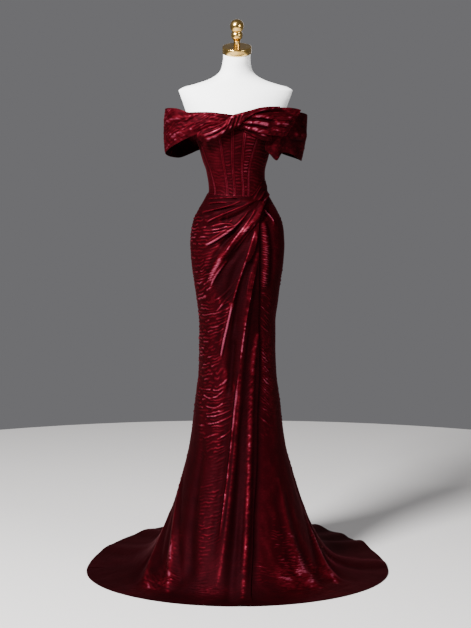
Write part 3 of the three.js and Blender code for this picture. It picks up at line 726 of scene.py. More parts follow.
def nearest(path, u, v, scale_u, scale_v=1.0):
    """Distance in millimetres from places to a path, and where along it the nearest point lies."""
    best = np.full(np.shape(u), FAR)
    where = np.zeros(np.shape(u))
    for (u0, v0, t0), (u1, v1, t1) in zip(path[:-1], path[1:]):
        ax, ay = (u - u0) * scale_u, (v - v0) * scale_v
        bx, by = (u1 - u0) * scale_u, (v1 - v0) * scale_v
        share = clamp01((ax * bx + ay * by) / (bx * bx + by * by + TINY))
        distance = np.hypot(ax - bx * share, ay - by * share)
        closer = distance < best
        best = np.where(closer, distance, best)
        where = np.where(closer, mix(t0, t1, share), where)
    return best, where


# Troughs beside a ridge: place and width in widths of the fold, and depth as a share of its height
TROUGH_AT = 1.9
TROUGH_WIDE = 0.8
TROUGH_DEEP = 0.4
# How far a fold is felt, in its widths
FOLD_REACH = 4.5


def ridge(distance, wide):
    """Cross-section of a fold, with a shallow trough on both sides."""
    beside = bell((distance - TROUGH_AT * wide) / (TROUGH_WIDE * wide))
    return bell(distance / wide) - TROUGH_DEEP * beside


def fold_rows(rows):
    return [dict(zip(rows, values)) for values in zip(*rows.values())]


def fold_path(fold):
    return path_through(*[(fold[f"deg{i}"], drop_at(fold[f"z{i}"])) for i in range(3)])


def fold_height(deg, z, folds):
    """Height of folds above the skirt's plain form."""
    degree = degree_at(z)
    drop = drop_at(z)
    height = np.zeros(np.shape(deg))
    for fold in fold_rows(folds):
        path = fold_path(fold)
        turned = deg + 360 * np.round((fold["deg1"] - deg) / 360)
        reach = FOLD_REACH * max(fold["wide0"], fold["wide2"])
        near = (drop > path[:, 1].min() - reach) & (drop < path[:, 1].max() + reach)
        near &= turned > path[:, 0].min() - reach / degree
        near &= turned < path[:, 0].max() + reach / degree
        distance, t = nearest(path, turned[near], drop[near], degree[near])
        wide = mix(fold["wide0"], fold["wide2"], t)
        start = 1.0 if fold["z0"] < FLOOR_FOLD else smooth(0, FOLD_END_FADE, t)
        fade = np.minimum(start, smooth(0, FOLD_END_FADE, 1 - t))
        high = mix(fold["high0"], fold["high2"], t) * fade
        height[near] += high * np.where(high > 0, ridge(distance, wide), bell(distance / wide))
    return height


def hem_ripples(deg, z):
    """Height of the waves of the hem's edge, to the right and behind."""
    share = (deg - RIPPLE_FROM) / (RIPPLE_TO - RIPPLE_FROM)
    inside = smooth(RIPPLE_FROM - RIPPLE_END, RIPPLE_FROM + RIPPLE_END, deg)
    inside = inside * smooth(-RIPPLE_TO - RIPPLE_END, -RIPPLE_TO + RIPPLE_END, -deg)
    wave = 0.5 + 0.5 * np.sin(share * RIPPLE_WAVES * math.pi)
    return RIPPLE_HIGH * wave * inside * smooth(RIPPLE_REACH, RIPPLE_LOW, z)


def skirt_height(deg, z):
    height = fold_height(deg, z, FOLDS) + hem_ripples(deg, z)
    return height * smooth(0, SEAM_FADE, waist_seam(deg) - z)


def free_edge():
    """Path of the wrap's free edge."""
    rows = np.linspace(FREE_EDGE_ROW, HEM, EDGE_POINTS)
    share = np.linspace(0, 1, len(rows))
    return np.column_stack([wrap_edge["deg"](rows), drop_at(wrap_edge["z"](rows)), share])


def edge_distance(deg, z):
    return nearest(free_edge(), deg, drop_at(z), degree_at(z))[0]


def wrap_height(deg, z, distance):
    """The wrap stands off the panel that it laps over."""
    height = skirt_height(deg, z)
    over_lap = 1 - smooth(LAP_WIDTH, LAP_WIDTH + LAP_BLEND, distance)
    lift = WRAP_LIFT * smooth(*LIFT_ANGLES, -deg) * smooth(0, SEAM_FADE, waist_seam(deg) - z)
    lapped = mix(height, np.maximum(height, 0) + lift, over_lap)
    return np.where(deg < LAP_END, height, lapped)


def under_free(deg, z, distance):
    """Share of the folds and crinkles that the panel under the wrap keeps."""
    lapped = np.where(z > LAP_TURN, z > edge_by_angle(deg), deg < edge_by_height(z))
    return np.where(lapped, 0, smooth(0, UNDER_BLEND, distance))


def skirt_form(deg, z, height):
    """Points of the skirt at a height off its plain form."""
    def ring(angle, level):
        x, y = around(angle, skirt["half"](level), skirt["front"](level), skirt["back"](level))
        return points_of(x, y, level + 0 * x)

    low = np.maximum(z - 1, CLOTH)
    out = np.cross(ring(deg + 0.5, z) - ring(deg - 0.5, z), ring(deg, low + 2) - ring(deg, low))
    out[..., 2] *= smooth(0, FORM_LEVEL, waist_seam(deg) - z)
    return ring(deg, z) + unit(out) * height[..., None]


# Crinkles: rows of short wavy ridges

WAVY = noise(11)
FINE_WAVY = noise(12)
SEGMENT = noise(13)
PATCH = noise(14)
SWELL = noise(15)
CRINKLE_PITCH = 11.5
CRINKLE_LENGTH = 17.0
WAVE_HIGH = 5.0
FINE_WAVE_HIGH = 2.2


def crinkle(x, line, pitch=CRINKLE_PITCH, length=CRINKLE_LENGTH, cover=0.1, seed=0.0):
    """Ridges along lines of equal value, broken into segments that differ from ridge to ridge."""
    wave = line + WAVE_HIGH * WAVY(x / 30 + seed, line / 42)
    wave = wave + FINE_WAVE_HIGH * FINE_WAVY(x / 9.5, line / 13 + seed)
    count = wave / pitch
    number = np.round(count)
    crest = clamp01(1 - 4 * (count - number) ** 2) ** 3
    segment = SEGMENT(x / length + number * 0.37, number + seed)
    strength = SEGMENT(x / (1.9 * length) + number * 0.73, number + seed + 31)
    return crest * (0.72 + 0.5 * strength) * smooth(-cover - 0.3, -cover + 0.3, segment)


def swell(x, y):
    """Slow unevenness of the cloth."""
    return 0.9 * SWELL(x / 46, y / 70) + 0.5 * SWELL(x / 21 + 9, y / 33 + 4)


# Painted shading: height above the relief blurred over this reach, between painted shade and painted
# highlight; the inside of the cloth gets a fixed painted shade
SHADING_BLUR_REACH = 7.0
PAINTED_SHADE_AT = -1.5
PAINTED_HIGHLIGHT_AT = 2.3
PAINTED_INSIDE_SHADE = 0.1


def blurred(grid, sigma, axis):
    reach = max(1, int(3 * sigma))
    weights = np.exp(-0.5 * (np.arange(-reach, reach + 1) / sigma) ** 2)
    weights /= weights.sum()
    flat = np.moveaxis(grid, axis, 0)
    padded = np.pad(flat, [(reach, reach), (0, 0)], mode="edge")
    total = sum(weight * padded[i:i + len(flat)] for i, weight in enumerate(weights))
    return np.moveaxis(total, 0, axis)


def painted_shading_of(height, row_step, column_step):
    """Painted shading from a height: 0, painted shade, in creases; 1, painted highlight, on crests."""
    soft = blurred(blurred(height, SHADING_BLUR_REACH / row_step, 0), SHADING_BLUR_REACH / column_step, 1)
    return smooth(PAINTED_SHADE_AT, PAINTED_HIGHLIGHT_AT, height - soft)


# Mesh making

def add_object(name, mesh, material):
    mesh.materials.append(material)
    piece = bpy.data.objects.new(name, mesh)
    bpy.context.scene.collection.objects.link(piece)
    return piece


def mesh_from(name, points, faces, uvs, painted_shading):
    """Mesh in metres from points in millimetres, with a flat cloth map in metres and its painted
    shading, the painted highlight and shade of the cloth's colour.
    """
    mesh = bpy.data.meshes.new(name)
    corner_lists = [face.tolist() for group in faces for face in group]
    mesh.from_pydata((points * METRE).tolist(), [], corner_lists)
    layer = mesh.uv_layers.new(name="cloth")
    corners = np.concatenate([group.ravel() for group in faces])
    layer.data.foreach_set("uv", (uvs[corners] * METRE).astype(np.float32).ravel())
    # Painted shading: light and shade painted into the cloth's colour
    shade = mesh.attributes.new("painted_shading", "FLOAT", "POINT")
    shade.data.foreach_set("value", painted_shading.astype(np.float32))
    mesh.shade_smooth()
    mesh.set_sharp_from_angle(angle=math.radians(CLOTH_SHARP_ANGLE))
    mesh.update()
    return mesh


def grid_faces(rows, columns, start=0):
    index = start + np.arange(rows * columns).reshape(rows, columns)
    a, b, c, d = index[:-1, :-1], index[1:, :-1], index[1:, 1:], index[:-1, 1:]
    return points_of(a, b, c, d).reshape(-1, 4)


def border_of(rows, columns):
    index = np.arange(rows * columns).reshape(rows, columns)
    return np.concatenate([index[0, :], index[1:, -1], index[-1, -2::-1], index[-2:0:-1, 0]])


def rim_faces(outer_shape, inner_shape):
    """Faces that join the outer grid's border to that of the inner grid, which has half its steps."""
    outer = border_of(*outer_shape)
    inner = border_of(*inner_shape) + outer_shape[0] * outer_shape[1]
    following = np.roll(outer, -1)[::2]
    after = np.roll(outer, -2)[::2]
    return points_of(outer[::2], following, after, np.roll(inner, -1), inner)


def lowest_near(grid):
    """Lowest value among each point of a grid and its neighbours."""
    padded = np.pad(grid, 1, mode="edge")
    rows, columns = grid.shape
    return np.min([padded[i:i + rows, j:j + columns] for i in range(3) for j in range(3)], axis=0)


def shell(name, outer, inner, uv, painted_shading, material):
    """Closed thin shell from two grids of points, with odd counts. The inner one keeps every second."""
    inner = inner[::2, ::2]
    faces = [
        grid_faces(*outer.shape[:2]),
        grid_faces(*inner.shape[:2], outer.shape[0] * outer.shape[1])[:, ::-1],
        rim_faces(outer.shape[:2], inner.shape[:2])]
    points = np.concatenate([outer.reshape(-1, 3), inner.reshape(-1, 3)])
    uvs = np.concatenate([uv.reshape(-1, 2), uv[::2, ::2].reshape(-1, 2)])
    # Inside faces get a fixed painted shade
    shade = np.concatenate([painted_shading.ravel(), np.full(inner.shape[0] * inner.shape[1], PAINTED_INSIDE_SHADE)])
    return add_object(name, mesh_from(name, points, faces, uvs, shade), material)


def grid_normals(points, guide, level):
    """Directions off a grid of points, on the guide's side; level lowers their slope."""
    normal = np.cross(np.gradient(points, axis=0), np.gradient(points, axis=1))
    normal[..., 2] *= level
    normal = unit(normal)
    facing = np.sign(np.sum(normal * guide, axis=-1, keepdims=True))
    return normal * np.where(facing == 0, 1, facing)


# Materials

def nodes_of(name):
    material = bpy.data.materials.new(name)
    material.use_nodes = True
    return material, material.node_tree


def feed(tree, node, inputs):
    """Links a node's inputs to other sockets, or sets their values."""
    for key, value in inputs.items():
        if isinstance(value, bpy.types.NodeSocket):
            tree.links.new(value, node.inputs[key])
        else:
            node.inputs[key].default_value = value


def add_node(tree, kind, output, inputs, **settings):
    """Adds a node and returns one of its outputs."""
    node = tree.nodes.new(kind)
    for key, value in settings.items():
        setattr(node, key, value)
    feed(tree, node, inputs)
    return node.outputs[output]


def add_noise(tree, place, scale, detail, roughness=0.5):
    inputs = {"Vector": place, "Scale": scale, "Detail": detail, "Roughness": roughness}
    return add_node(tree, "ShaderNodeTexNoise", "Fac", inputs)


def add_bump(tree, strength, distance, **inputs):
    inputs = {"Strength": strength, "Distance": distance, **inputs}
    return add_node(tree, "ShaderNodeBump", "Normal", inputs)


def add_range(tree, source, low, high):
    inputs = {"Value": source, "To Min": low, "To Max": high}
    return add_node(tree, "ShaderNodeMapRange", "Result", inputs)


def ramp(tree, source, *stops):
    node = tree.nodes.new("ShaderNodeValToRGB")
    tree.links.new(source, node.inputs["Fac"])
    elements = node.color_ramp.elements
    while len(elements) < len(stops):
        elements.new(0.5)
    for element, (position, colour) in zip(elements, stops):
        element.position = position
        element.color = (*colour, 1)
    return node.outputs["Color"]


def velvet_material():
    """Velvet whose colour carries painted shade in creases and painted highlights on crests, from the
    painted shading stored on its mesh, with uneven tone from noise.
    """
    material, tree = nodes_of("crinkled_velvet")
    cloth = add_node(tree, "ShaderNodeUVMap", "UV", {}, uv_map="cloth")
    stretch = {"Vector": cloth, "Scale": (0.45, 1.0, 1.0)}
    stretched = add_node(tree, "ShaderNodeMapping", "Vector", stretch)
    crush = add_noise(tree, stretched, 190.0, 3.0, 0.6)
    patches = add_noise(tree, cloth, 26.0, 2.0)
    pile = add_noise(tree, cloth, 1400.0, 2.0, 0.7)
    painted_shading = add_node(tree, "ShaderNodeAttribute", "Fac", {}, attribute_name="painted_shading")
    uneven = add_node(tree, "ShaderNodeMix", 0, {0: 0.5, 2: crush, 3: patches}, data_type="FLOAT")
    shift = add_node(tree, "ShaderNodeMath", 0, {0: uneven, 1: 0.5, 2: -0.25}, operation="MULTIPLY_ADD")
    tone_and_painted_shading = add_node(tree, "ShaderNodeMath", 0, {0: painted_shading, 1: shift}, operation="ADD")
    # Colour runs from painted shade, near-black wine, to painted highlight, crimson; the noise adds
    # uneven tone
    colour = ramp(
        tree, tone_and_painted_shading,
        (0.0, (0.004, 0.0001, 0.0002)),
        (0.28, (0.013, 0.0002, 0.0007)),
        (0.6, (0.047, 0.0014, 0.0038)),
        (1.0, (0.188, 0.033, 0.06)))
    fine = add_bump(tree, 0.25, 0.0004, Height=pile)
    feed(tree, tree.nodes["Principled BSDF"], {
        "Base Color": colour,
        "Roughness": add_range(tree, tone_and_painted_shading, 0.7, 0.42),
        "Normal": add_bump(tree, 0.5, 0.0012, Height=crush, Normal=fine),
        "Metallic": 0.5,
        "Specular IOR Level": 0.12,
        "Specular Tint": (1.0, 0.2, 0.32, 1),
        "Sheen Weight": 0.04,
        "Sheen Roughness": 0.3,
        "Sheen Tint": (0.9, 0.06, 0.14, 1),
    })
    return material


def cover_material():
    material, tree = nodes_of("form_jersey")
    place = add_node(tree, "ShaderNodeTexCoord", "Object", {})
    knit = add_noise(tree, place, 900.0, 2.0)
    tone = add_noise(tree, place, 7.0, 3.0)
    feed(tree, tree.nodes["Principled BSDF"], {
        "Base Color": ramp(tree, tone, (0.3, (0.93, 0.93, 0.93)), (0.7, (0.96, 0.96, 0.955))),
        "Normal": add_bump(tree, 0.12, 0.0003, Height=knit),
        "Roughness": 0.72,
        "Sheen Weight": 0.15,
    })
    return material


def gold_material():
    material, tree = nodes_of("gold_metal")
    place = add_node(tree, "ShaderNodeTexCoord", "Object", {})
    wear = add_noise(tree, place, 60.0, 4.0)
    feed(tree, tree.nodes["Principled BSDF"], {
        "Base Color": ramp(tree, wear, (0.35, (0.62, 0.38, 0.1)), (0.65, (0.78, 0.52, 0.17))),
        "Roughness": add_range(tree, wear, 0.14, 0.24),
        "Metallic": 1.0,
    })
    return material


VELVET = velvet_material()
COVER = cover_material()
GOLD = gold_material()


# Skirt panels

def half_gap(z):
    return angle_of(SEAM_GAP / 2, z)


def seam_top(deg):
    return waist_seam(deg) - WAIST_GAP / 2


def row_fade(row):
    return 1 - smooth(0, ROW_FADE, TOP_ROW - row)


def rows_between(top, count):
    """Row heights at equal steps along the cloth, as a column."""
    drops = np.linspace(drop_at(top), drop_at(HEM), count)
    heights = height_at(drops)
    heights[0], heights[-1] = top, HEM
    return heights[:, None]


def wrap_places():
    """Angles and heights of the wrap's points: its rows rise to the hip and end at the free edge."""
    row = rows_between(TOP_ROW, SKIRT_ROWS)
    u = np.linspace(0, 1, WRAP_COLUMNS)[None, :]
    end_deg = wrap_edge["deg"](row)
    end_z = wrap_edge["z"](row)
    deg = mix(-180 + half_gap(row), end_deg - half_gap(end_z), u)
    rise = 1 - (1 - u) ** mix(1, WRAP_ROW_CURVE, row_fade(row))
    top_rise = 1 - (1 - u) ** WRAP_ROW_CURVE
    top = seam_top(mix(-180 + half_gap(row), -half_gap(end_z), u))
    to_seam = top - mix(TOP_ROW, WRAP_EDGE["z"][0], top_rise)
    z = mix(row, end_z, rise) + to_seam * row_fade(row)
    return deg, np.maximum(z, HEM)


def under_places():
    """The same for the panel under the wrap, which starts a little inside the wrap's edge."""
    start = UNDER_ROWS["side"][0]
    side = rows_between(start, UNDER_PANEL_ROWS)
    inner_z = under_inner(side)
    inner_deg = edge_by_height(inner_z) - angle_of(UNDER_LAP, inner_z)
    u = np.linspace(0, 1, UNDER_COLUMNS)[None, :]
    deg = mix(inner_deg, -half_gap(side), u)
    bend = under_top(deg) - mix(UNDER_ROWS["inner"][0], start, u)
    z = mix(inner_z, side, u) + bend * (1 - smooth(0, UNDER_BEND, start - side))
    return deg, np.maximum(z, HEM)


def back_places(first, last):
    """The same for a back panel between two angles."""
    row = rows_between(TOP_ROW, SKIRT_ROWS)
    side_seam = WRAP_EDGE["z"][0] if first == 0 else TOP_ROW
    at_side = row + (side_seam - TOP_ROW) * row_fade(row)
    u = np.linspace(0, 1, BACK_COLUMNS)[None, :]
    deg = mix(first + half_gap(row), last - half_gap(row), u)
    z = at_side + (seam_top(deg) - side_seam) * row_fade(row)
    return deg, np.maximum(z, HEM)


def skirt_panel(name, deg, z, height, relief, middle, painted_shading):
    """Panel of the skirt from its places, the height of its folds and the relief of finer ones."""
    base = skirt_form(deg, z, height)
    guide = points_of(np.cos(np.radians(deg)), np.sin(np.radians(deg)), 0 * deg + GUIDE_RISE)
    normal = grid_normals(base, guide, smooth(0, PANEL_LEVEL, waist_seam(deg) - z))
    outer = base + normal * relief[..., None]
    outer[..., 2] = np.maximum(outer[..., 2], HEM_CLOTH)
    thick = mix(HEM_CLOTH, CLOTH, smooth(0, HEM_REACH, z)) + relief - lowest_near(relief)
    inner = outer - normal * thick[..., None]
    inner[..., 2] = np.clip(inner[..., 2], 0, outer[..., 2] - HEM_THINNEST)
    uv = points_of(arc(deg - middle, z), -drop_at(z))
    return shell(name, outer, inner, uv, painted_shading, VELVET)


def row_steps(z):
    """Mean step along the cloth between the rows of a panel."""
    return abs(drop_at(z[-1, 0]) - drop_at(z[0, 0])) / (len(z) - 1)


def column_steps(deg, z):
    """Step round the body between the columns of a panel, half way down."""
    middle = len(deg) // 2
    return arc(abs(deg[middle, -1] - deg[middle, 0]), z[middle, 0]) / (deg.shape[1] - 1)


def panel_painted_shading(deg, z, height, relief):
    return painted_shading_of(fold_share(z) * height + relief, row_steps(z), column_steps(deg, z))


def beside_fold(deg, z, number):
    """Distance along the row from a fold, positive to its right, and along the cloth to it."""
    path = fold_path(fold_rows(FOLDS)[number])
    order = np.argsort(path[:, 1])
    centre = np.interp(drop_at(z), path[order, 1], path[order, 0])
    return arc(deg - centre, z), nearest(path, deg, drop_at(z), degree_at(z))[0]


# Heights of creases between which their crests catch light
LINE_HIGH = (0.6, 3.0)
# Where the left flank of the body ends, across it
FLANK = (-134, -116)
WRAP_MIDDLE = -120
UNDER_MIDDLE = -45
# Folds with crinkles of their own, by their row in the folds
ROPE_FOLD = 8
HIP_FOLD = 4
RIGHT_FOLD = 13
# Height of crinkles: of the wrap by the hem and above, on single folds, in lit patches, in other panels
WRAP_CRINKLES = (3.2, 2.5)
ROPE_CRINKLES = 2.4
HIP_CRINKLES = 1.5
RIGHT_CRINKLES = 2.6
GLOW_CRINKLES = 2.0
BESIDE_CRINKLES = 2.0
HEM_CRINKLES = 1.6
BACK_CRINKLES = 2.0
SWELL_HIGH = 0.8
UNDER_SWELL_HIGH = 0.7
# Lowest relief where the wrap laps over the panel under it
LAPPED_LOW = -0.4
# Heights between which the crinkles begin below the waist, thin out, and leave the front
BELOW_WAIST = (1225, 1185)
LOWER_WRAP = (470, 380)
PLAIN_FRONT = (640, 540)
# Share of the painted shading that stays, lower for painted shade: in the plain part of the wrap, on
# the back, in the wrap's shadow
PLAIN_SHADING_SHARE = 0.18
BACK_SHADING_SHARE = 0.9
LAP_SHADOW = 0.05
# Ridges whose crests catch the light, by their row in the folds, with half width and strength
LIT_RIDGES = [
    (4, 9, 0.56),
    (5, 4, 0.3),
    (7, 5, 0.55),
    (8, 7, 0.74),
    (9, 7, 0.55),
    (10, 9, 0.45),
]
UNDER_LIT_RIDGES = [
    (13, 14, 0.12),
    (14, 9, 0.5),
    (16, 7, 0.3),
]
# Patches that catch the light, or lie in shade: angle, height, half width, half height and strength
GLOWS = [
    (-132, 34, 6, 30, 0.6),
    (-142, 100, 5, 60, 0.5),
    (-140, 22, 8, 14, 0.35),
    (-104, 28, 11, 16, 0.34),
    (-61, 42, 9, 34, 0.45),
    (-48, 40, 9, 36, 0.6),
    (-31, 34, 8, 28, 0.4),
    (-41, 670, 15, 140, 0.25),
    (-35, 1090, 13, 130, 0.09),
    (-96, 1004, 6, 60, -0.3),
    (-92, 1060, 5, 40, -0.2),
]


def fold_share(z):
    """Wide folds near the hem and the gathers by the waist catch less light."""
    return mix(0.3, 0.8, smooth(250, 800, z)) - 0.4 * smooth(1080, 1180, z)


def on_floor(z):
    """Painted shade on the train, which lies flat: its colour is darkened towards the floor."""
    return mix(0.25, 1.0, smooth(10, 90, z))


def broken(x, drop):
    """Uneven share of light along a crest."""
    return 0.62 + 0.42 * SEGMENT(x / 9 + 5, drop / 6) + 0.25 * PATCH(x / 24, drop / 24 + 8)


def ridge_light(deg, z, rows):
    light = 0 * deg
    for number, wide, strength in rows:
        near = beside_fold(deg, z, number)[1]
        light = np.maximum(light, strength * bell(near / wide))
    return light


def glow(deg, z):
    light = 0 * deg
    for angle, height, wide, tall, strength in GLOWS:
        light += strength * bell((deg - angle) / wide, (z - height) / tall)
    return light


def lean_of(deg, z, left):
    """How far crinkles rise towards the drape line, and towards the side seam above the knee."""
    lean = 34 * np.exp(-np.maximum(left, 0) / 38)
    return lean + 16 * smooth(760, 640, z) * np.exp(-arc(deg + 176, z) / 26)


def wrap_field(x, z, left, flank):
    """Share of crinkles: in patches left of the drape line, and low down on the flank alone."""
    field = smooth(-6, 14, left) * smooth(*BELOW_WAIST, z) * mix(1, 0.6, smooth(*LOWER_WRAP, z))
    field = field * mix(0.45, 1.0, smooth(-0.6, 0.2, PATCH(x / 60, drop_at(z) / 80)))
    return field * mix(1, mix(0.12, 1, flank), smooth(*PLAIN_FRONT, z))


def wrap_relief(deg, z, x, left, field, shine):
    drop = drop_at(z)
    across, near = beside_fold(deg, z, ROPE_FOLD)
    rope = bell(near / mix(22, 13, smooth(120, 420, z))) * smooth(20, 90, z)
    across_hip, near_hip = beside_fold(deg, z, HIP_FOLD)
    hip = bell(near_hip / 13) * smooth(1200, 1130, z)
    relief = mix(*WRAP_CRINKLES, smooth(80, 420, z)) * field * crinkle(
        x, drop + lean_of(deg, z, left), pitch=11, length=15, cover=0.3)
    relief += ROPE_CRINKLES * rope * crinkle(
        across, drop + 1.5 * across, pitch=11, length=22, cover=0.35)
    relief += HIP_CRINKLES * hip * crinkle(
        across_hip, drop + 0.5 * across_hip, pitch=8, length=12, cover=0.35)
    relief += GLOW_CRINKLES * clamp01(2 * shine) * crinkle(
        x, drop, pitch=8, length=12, cover=0.2, seed=5.2)
    return relief


def make_wrap():
    deg, z = wrap_places()
    distance = edge_distance(deg, z)
    below = waist_seam(deg) - z
    height = wrap_height(deg, z, distance)
    relief = fold_height(deg, z, CREASES) * smooth(0, CREASE_FADE, below)
    lines = smooth(*LINE_HIGH, relief)
    x = arc(deg - WRAP_MIDDLE, z)
    drop = drop_at(z)
    left = arc(drape_line(z) - deg, z)
    flank = smooth(*FLANK, skirt["half"](z) * np.cos(np.radians(deg)))
    field = wrap_field(x, z, left, flank)
    shine = glow(deg, z)
    relief += wrap_relief(deg, z, x, left, field, shine)
    relief += SWELL_HIGH * swell(x, drop) * smooth(0, SEAM_FADE, below)
    lapped = 1 - smooth(LAP_WIDTH, LAP_WIDTH + LAP_BLEND, distance)
    relief = np.maximum(relief, LAPPED_LOW * lapped + relief * (1 - lapped))
    # Painted shade: darker colour in the plain part by the hip, on the front low down away from the
    # flank, low down outside the crinkles, under the waist and on the train
    plain = smooth(2, -16, left) * smooth(1150, 1060, z)
    beside_flank = np.maximum(flank, smooth(*PLAIN_FRONT[::-1], z))
    shade_eased_low = np.maximum(smooth(300, 560, z), 0.5 * field)
    painted_shading = panel_painted_shading(deg, z, height, relief) * mix(1, PLAIN_SHADING_SHARE, plain) * on_floor(z)
    painted_shading = painted_shading * mix(0.5, 1, beside_flank) * mix(0.5, 0.88, shade_eased_low)
    painted_shading = painted_shading * mix(0.5, 1, smooth(1215, 1110, z))
    # Painted highlights on crease crests, lit ridges and glowing patches, broken along their length;
    # patches of negative strength are painted shade
    strong = mix(0.4, 0.8, smooth(60, 300, z)) - 0.6 * smooth(1050, 1150, z)
    lit = lines * strong + ridge_light(deg, z, LIT_RIDGES)
    painted_shading = painted_shading + (1 - painted_shading) * clamp01(lit * broken(x, drop))
    painted_shading = clamp01(painted_shading + shine * broken(x, drop))
    return skirt_panel("skirt_front_wrap_velvet", deg, z, height, relief, WRAP_MIDDLE, painted_shading)


def under_relief(deg, z, x, distance, shine):
    drop = drop_at(z)
    across, near = beside_fold(deg, z, RIGHT_FOLD)
    top = bell(near / 17) * smooth(1200, 1140, z)
    beside = smooth(64, 26, distance) * smooth(400, 520, z) * smooth(960, 900, z)
    patches = smooth(0.1, 0.6, PATCH(x / 60 + 3, drop / 120) + 0.4)
    hem = smooth(330, 180, z) * smooth(16, 50, z) * patches
    relief = RIGHT_CRINKLES * top * crinkle(
        across, drop - 0.2 * across, pitch=7.5, length=12, cover=0.4)
    relief += BESIDE_CRINKLES * beside * crinkle(
        x, drop - 0.85 * x, pitch=10.5, length=15, cover=0.0)
    relief += HEM_CRINKLES * hem * crinkle(
        x, drop - 0.15 * x, pitch=9.5, length=14, cover=0.1, seed=2.7)
    relief += GLOW_CRINKLES * clamp01(2 * shine) * crinkle(
        x, drop - 0.3 * x, pitch=8, length=12, cover=0.2, seed=8.1)
    return relief


def make_under():
    deg, z = under_places()
    distance = edge_distance(deg, z)
    free = under_free(deg, z, distance)
    height = skirt_height(deg, z) * free
    relief = fold_height(deg, z, CREASES)
    lines = smooth(*LINE_HIGH, relief)
    x = arc(deg - UNDER_MIDDLE, z)
    drop = drop_at(z)
    shine = glow(deg, z)
    relief += under_relief(deg, z, x, distance, shine)
    relief = (relief + UNDER_SWELL_HIGH * swell(x + 300, drop)) * free
    # Painted shading: darker near the top and on the train, painted highlights on crease crests, lit
    # ridges and glowing patches, and the wrap's painted shadow along its edge
    painted_shading = mix(0.8, 0.68, smooth(880, 1000, z)) * panel_painted_shading(deg, z, height, relief) * on_floor(z)
    lit = 0.85 * lines + ridge_light(deg, z, UNDER_LIT_RIDGES)
    painted_shading = painted_shading + (1 - painted_shading) * clamp01(lit * broken(x, drop)) + shine * broken(x, drop)
    shadow = smooth(4, mix(30, 14, smooth(400, 900, z)), distance)
    painted_shading = clamp01(painted_shading) * mix(LAP_SHADOW, 1, shadow)
    return skirt_panel("skirt_front_under_velvet", deg, z, height, relief, UNDER_MIDDLE, painted_shading)


def make_back(name, first, last):
    deg, z = back_places(first, last)
    middle = (first + last) / 2
    below = waist_seam(deg) - z
    height = skirt_height(deg, z)
    relief = fold_height(deg, z, CREASES) * smooth(0, CREASE_FADE, below)
    x = arc(deg - middle, z)
    drop = drop_at(z)
    patches = smooth(-0.45, 0.35, PATCH(x / 80 + middle, drop / 110))
    sag = 16 * (x / 150) ** 2 * smooth(300, 900, z)
    field = smooth(1225, 1165, z) * mix(0.35, 1.0, patches) * mix(0.25, 1.0, smooth(120, 380, z))
    relief += BACK_CRINKLES * field * crinkle(x, drop + sag, cover=0.2, seed=middle)
    relief += SWELL_HIGH * swell(x + 40 * middle, drop) * smooth(0, SEAM_FADE, below)
    # Painted shading, dimmed on the back and darkened on the train
    painted_shading = BACK_SHADING_SHARE * panel_painted_shading(deg, z, height, relief) * on_floor(z)
    return skirt_panel(name, deg, z, height, relief, middle, painted_shading)


# Torso and bodice

def torso_point(deg, z, cup_share=1.0):
    """Points of the torso, tilted towards the neck, with a share of the bust's height."""
    x, y = around(deg, torso["half"](z), torso["front"](z), torso["back"](z))
    limit = ARMHOLE_HALF - ARMHOLE_SLOPE * (ARMHOLE_Z - z)
    x = np.where(z > ARMHOLE_FROM, np.clip(x, -limit, limit), x) + torso["midX"](z)
    tilted = z + y * np.tan(np.radians(torso["tilt"](z)))
    front = np.minimum(0, np.sin(np.radians(deg)))
    y = y + torso["midY"](z)
    for cup_x, cup_z, wide, tall, high in CUPS:
        y = y + cup_share * high * front * bell((x - cup_x) / wide, (z - cup_z) / tall)
    return points_of(x, y, tilted)


def bodice_out(deg, z):
    """Level outward direction of the bodice."""
    along = torso_point(deg + 0.4, z, CUP_EASE) - torso_point(deg - 0.4, z, CUP_EASE)
    upward = torso_point(deg, z + 1, CUP_EASE) - torso_point(deg, z - 1, CUP_EASE)
    out = np.cross(along, upward)
    out[..., 2] = 0
    return unit(out)


def columns_of_panel(width):
    """Shares of a panel's width: close together at its seams, wider in the middle."""
    edge = np.array(BODICE_EDGE_SPACING)
    count = 2 * max(1, round((width - 2 * edge[-1]) / BODICE_SPACING))
    middle = np.linspace(edge[-1], width - edge[-1], count + 1)[1:-1]
    return np.concatenate([edge, middle, width - edge[::-1]]) / width


def seam_line(number, v):
    """Angle of a bodice seam all along its length."""
    top, mid, low = (BODICE_SEAMS[key][number] for key in ("deg", "mid", "low"))
    return np.where(v < 0.5, mix(top, mid, v * 2), mix(mid, low, v * 2 - 1))


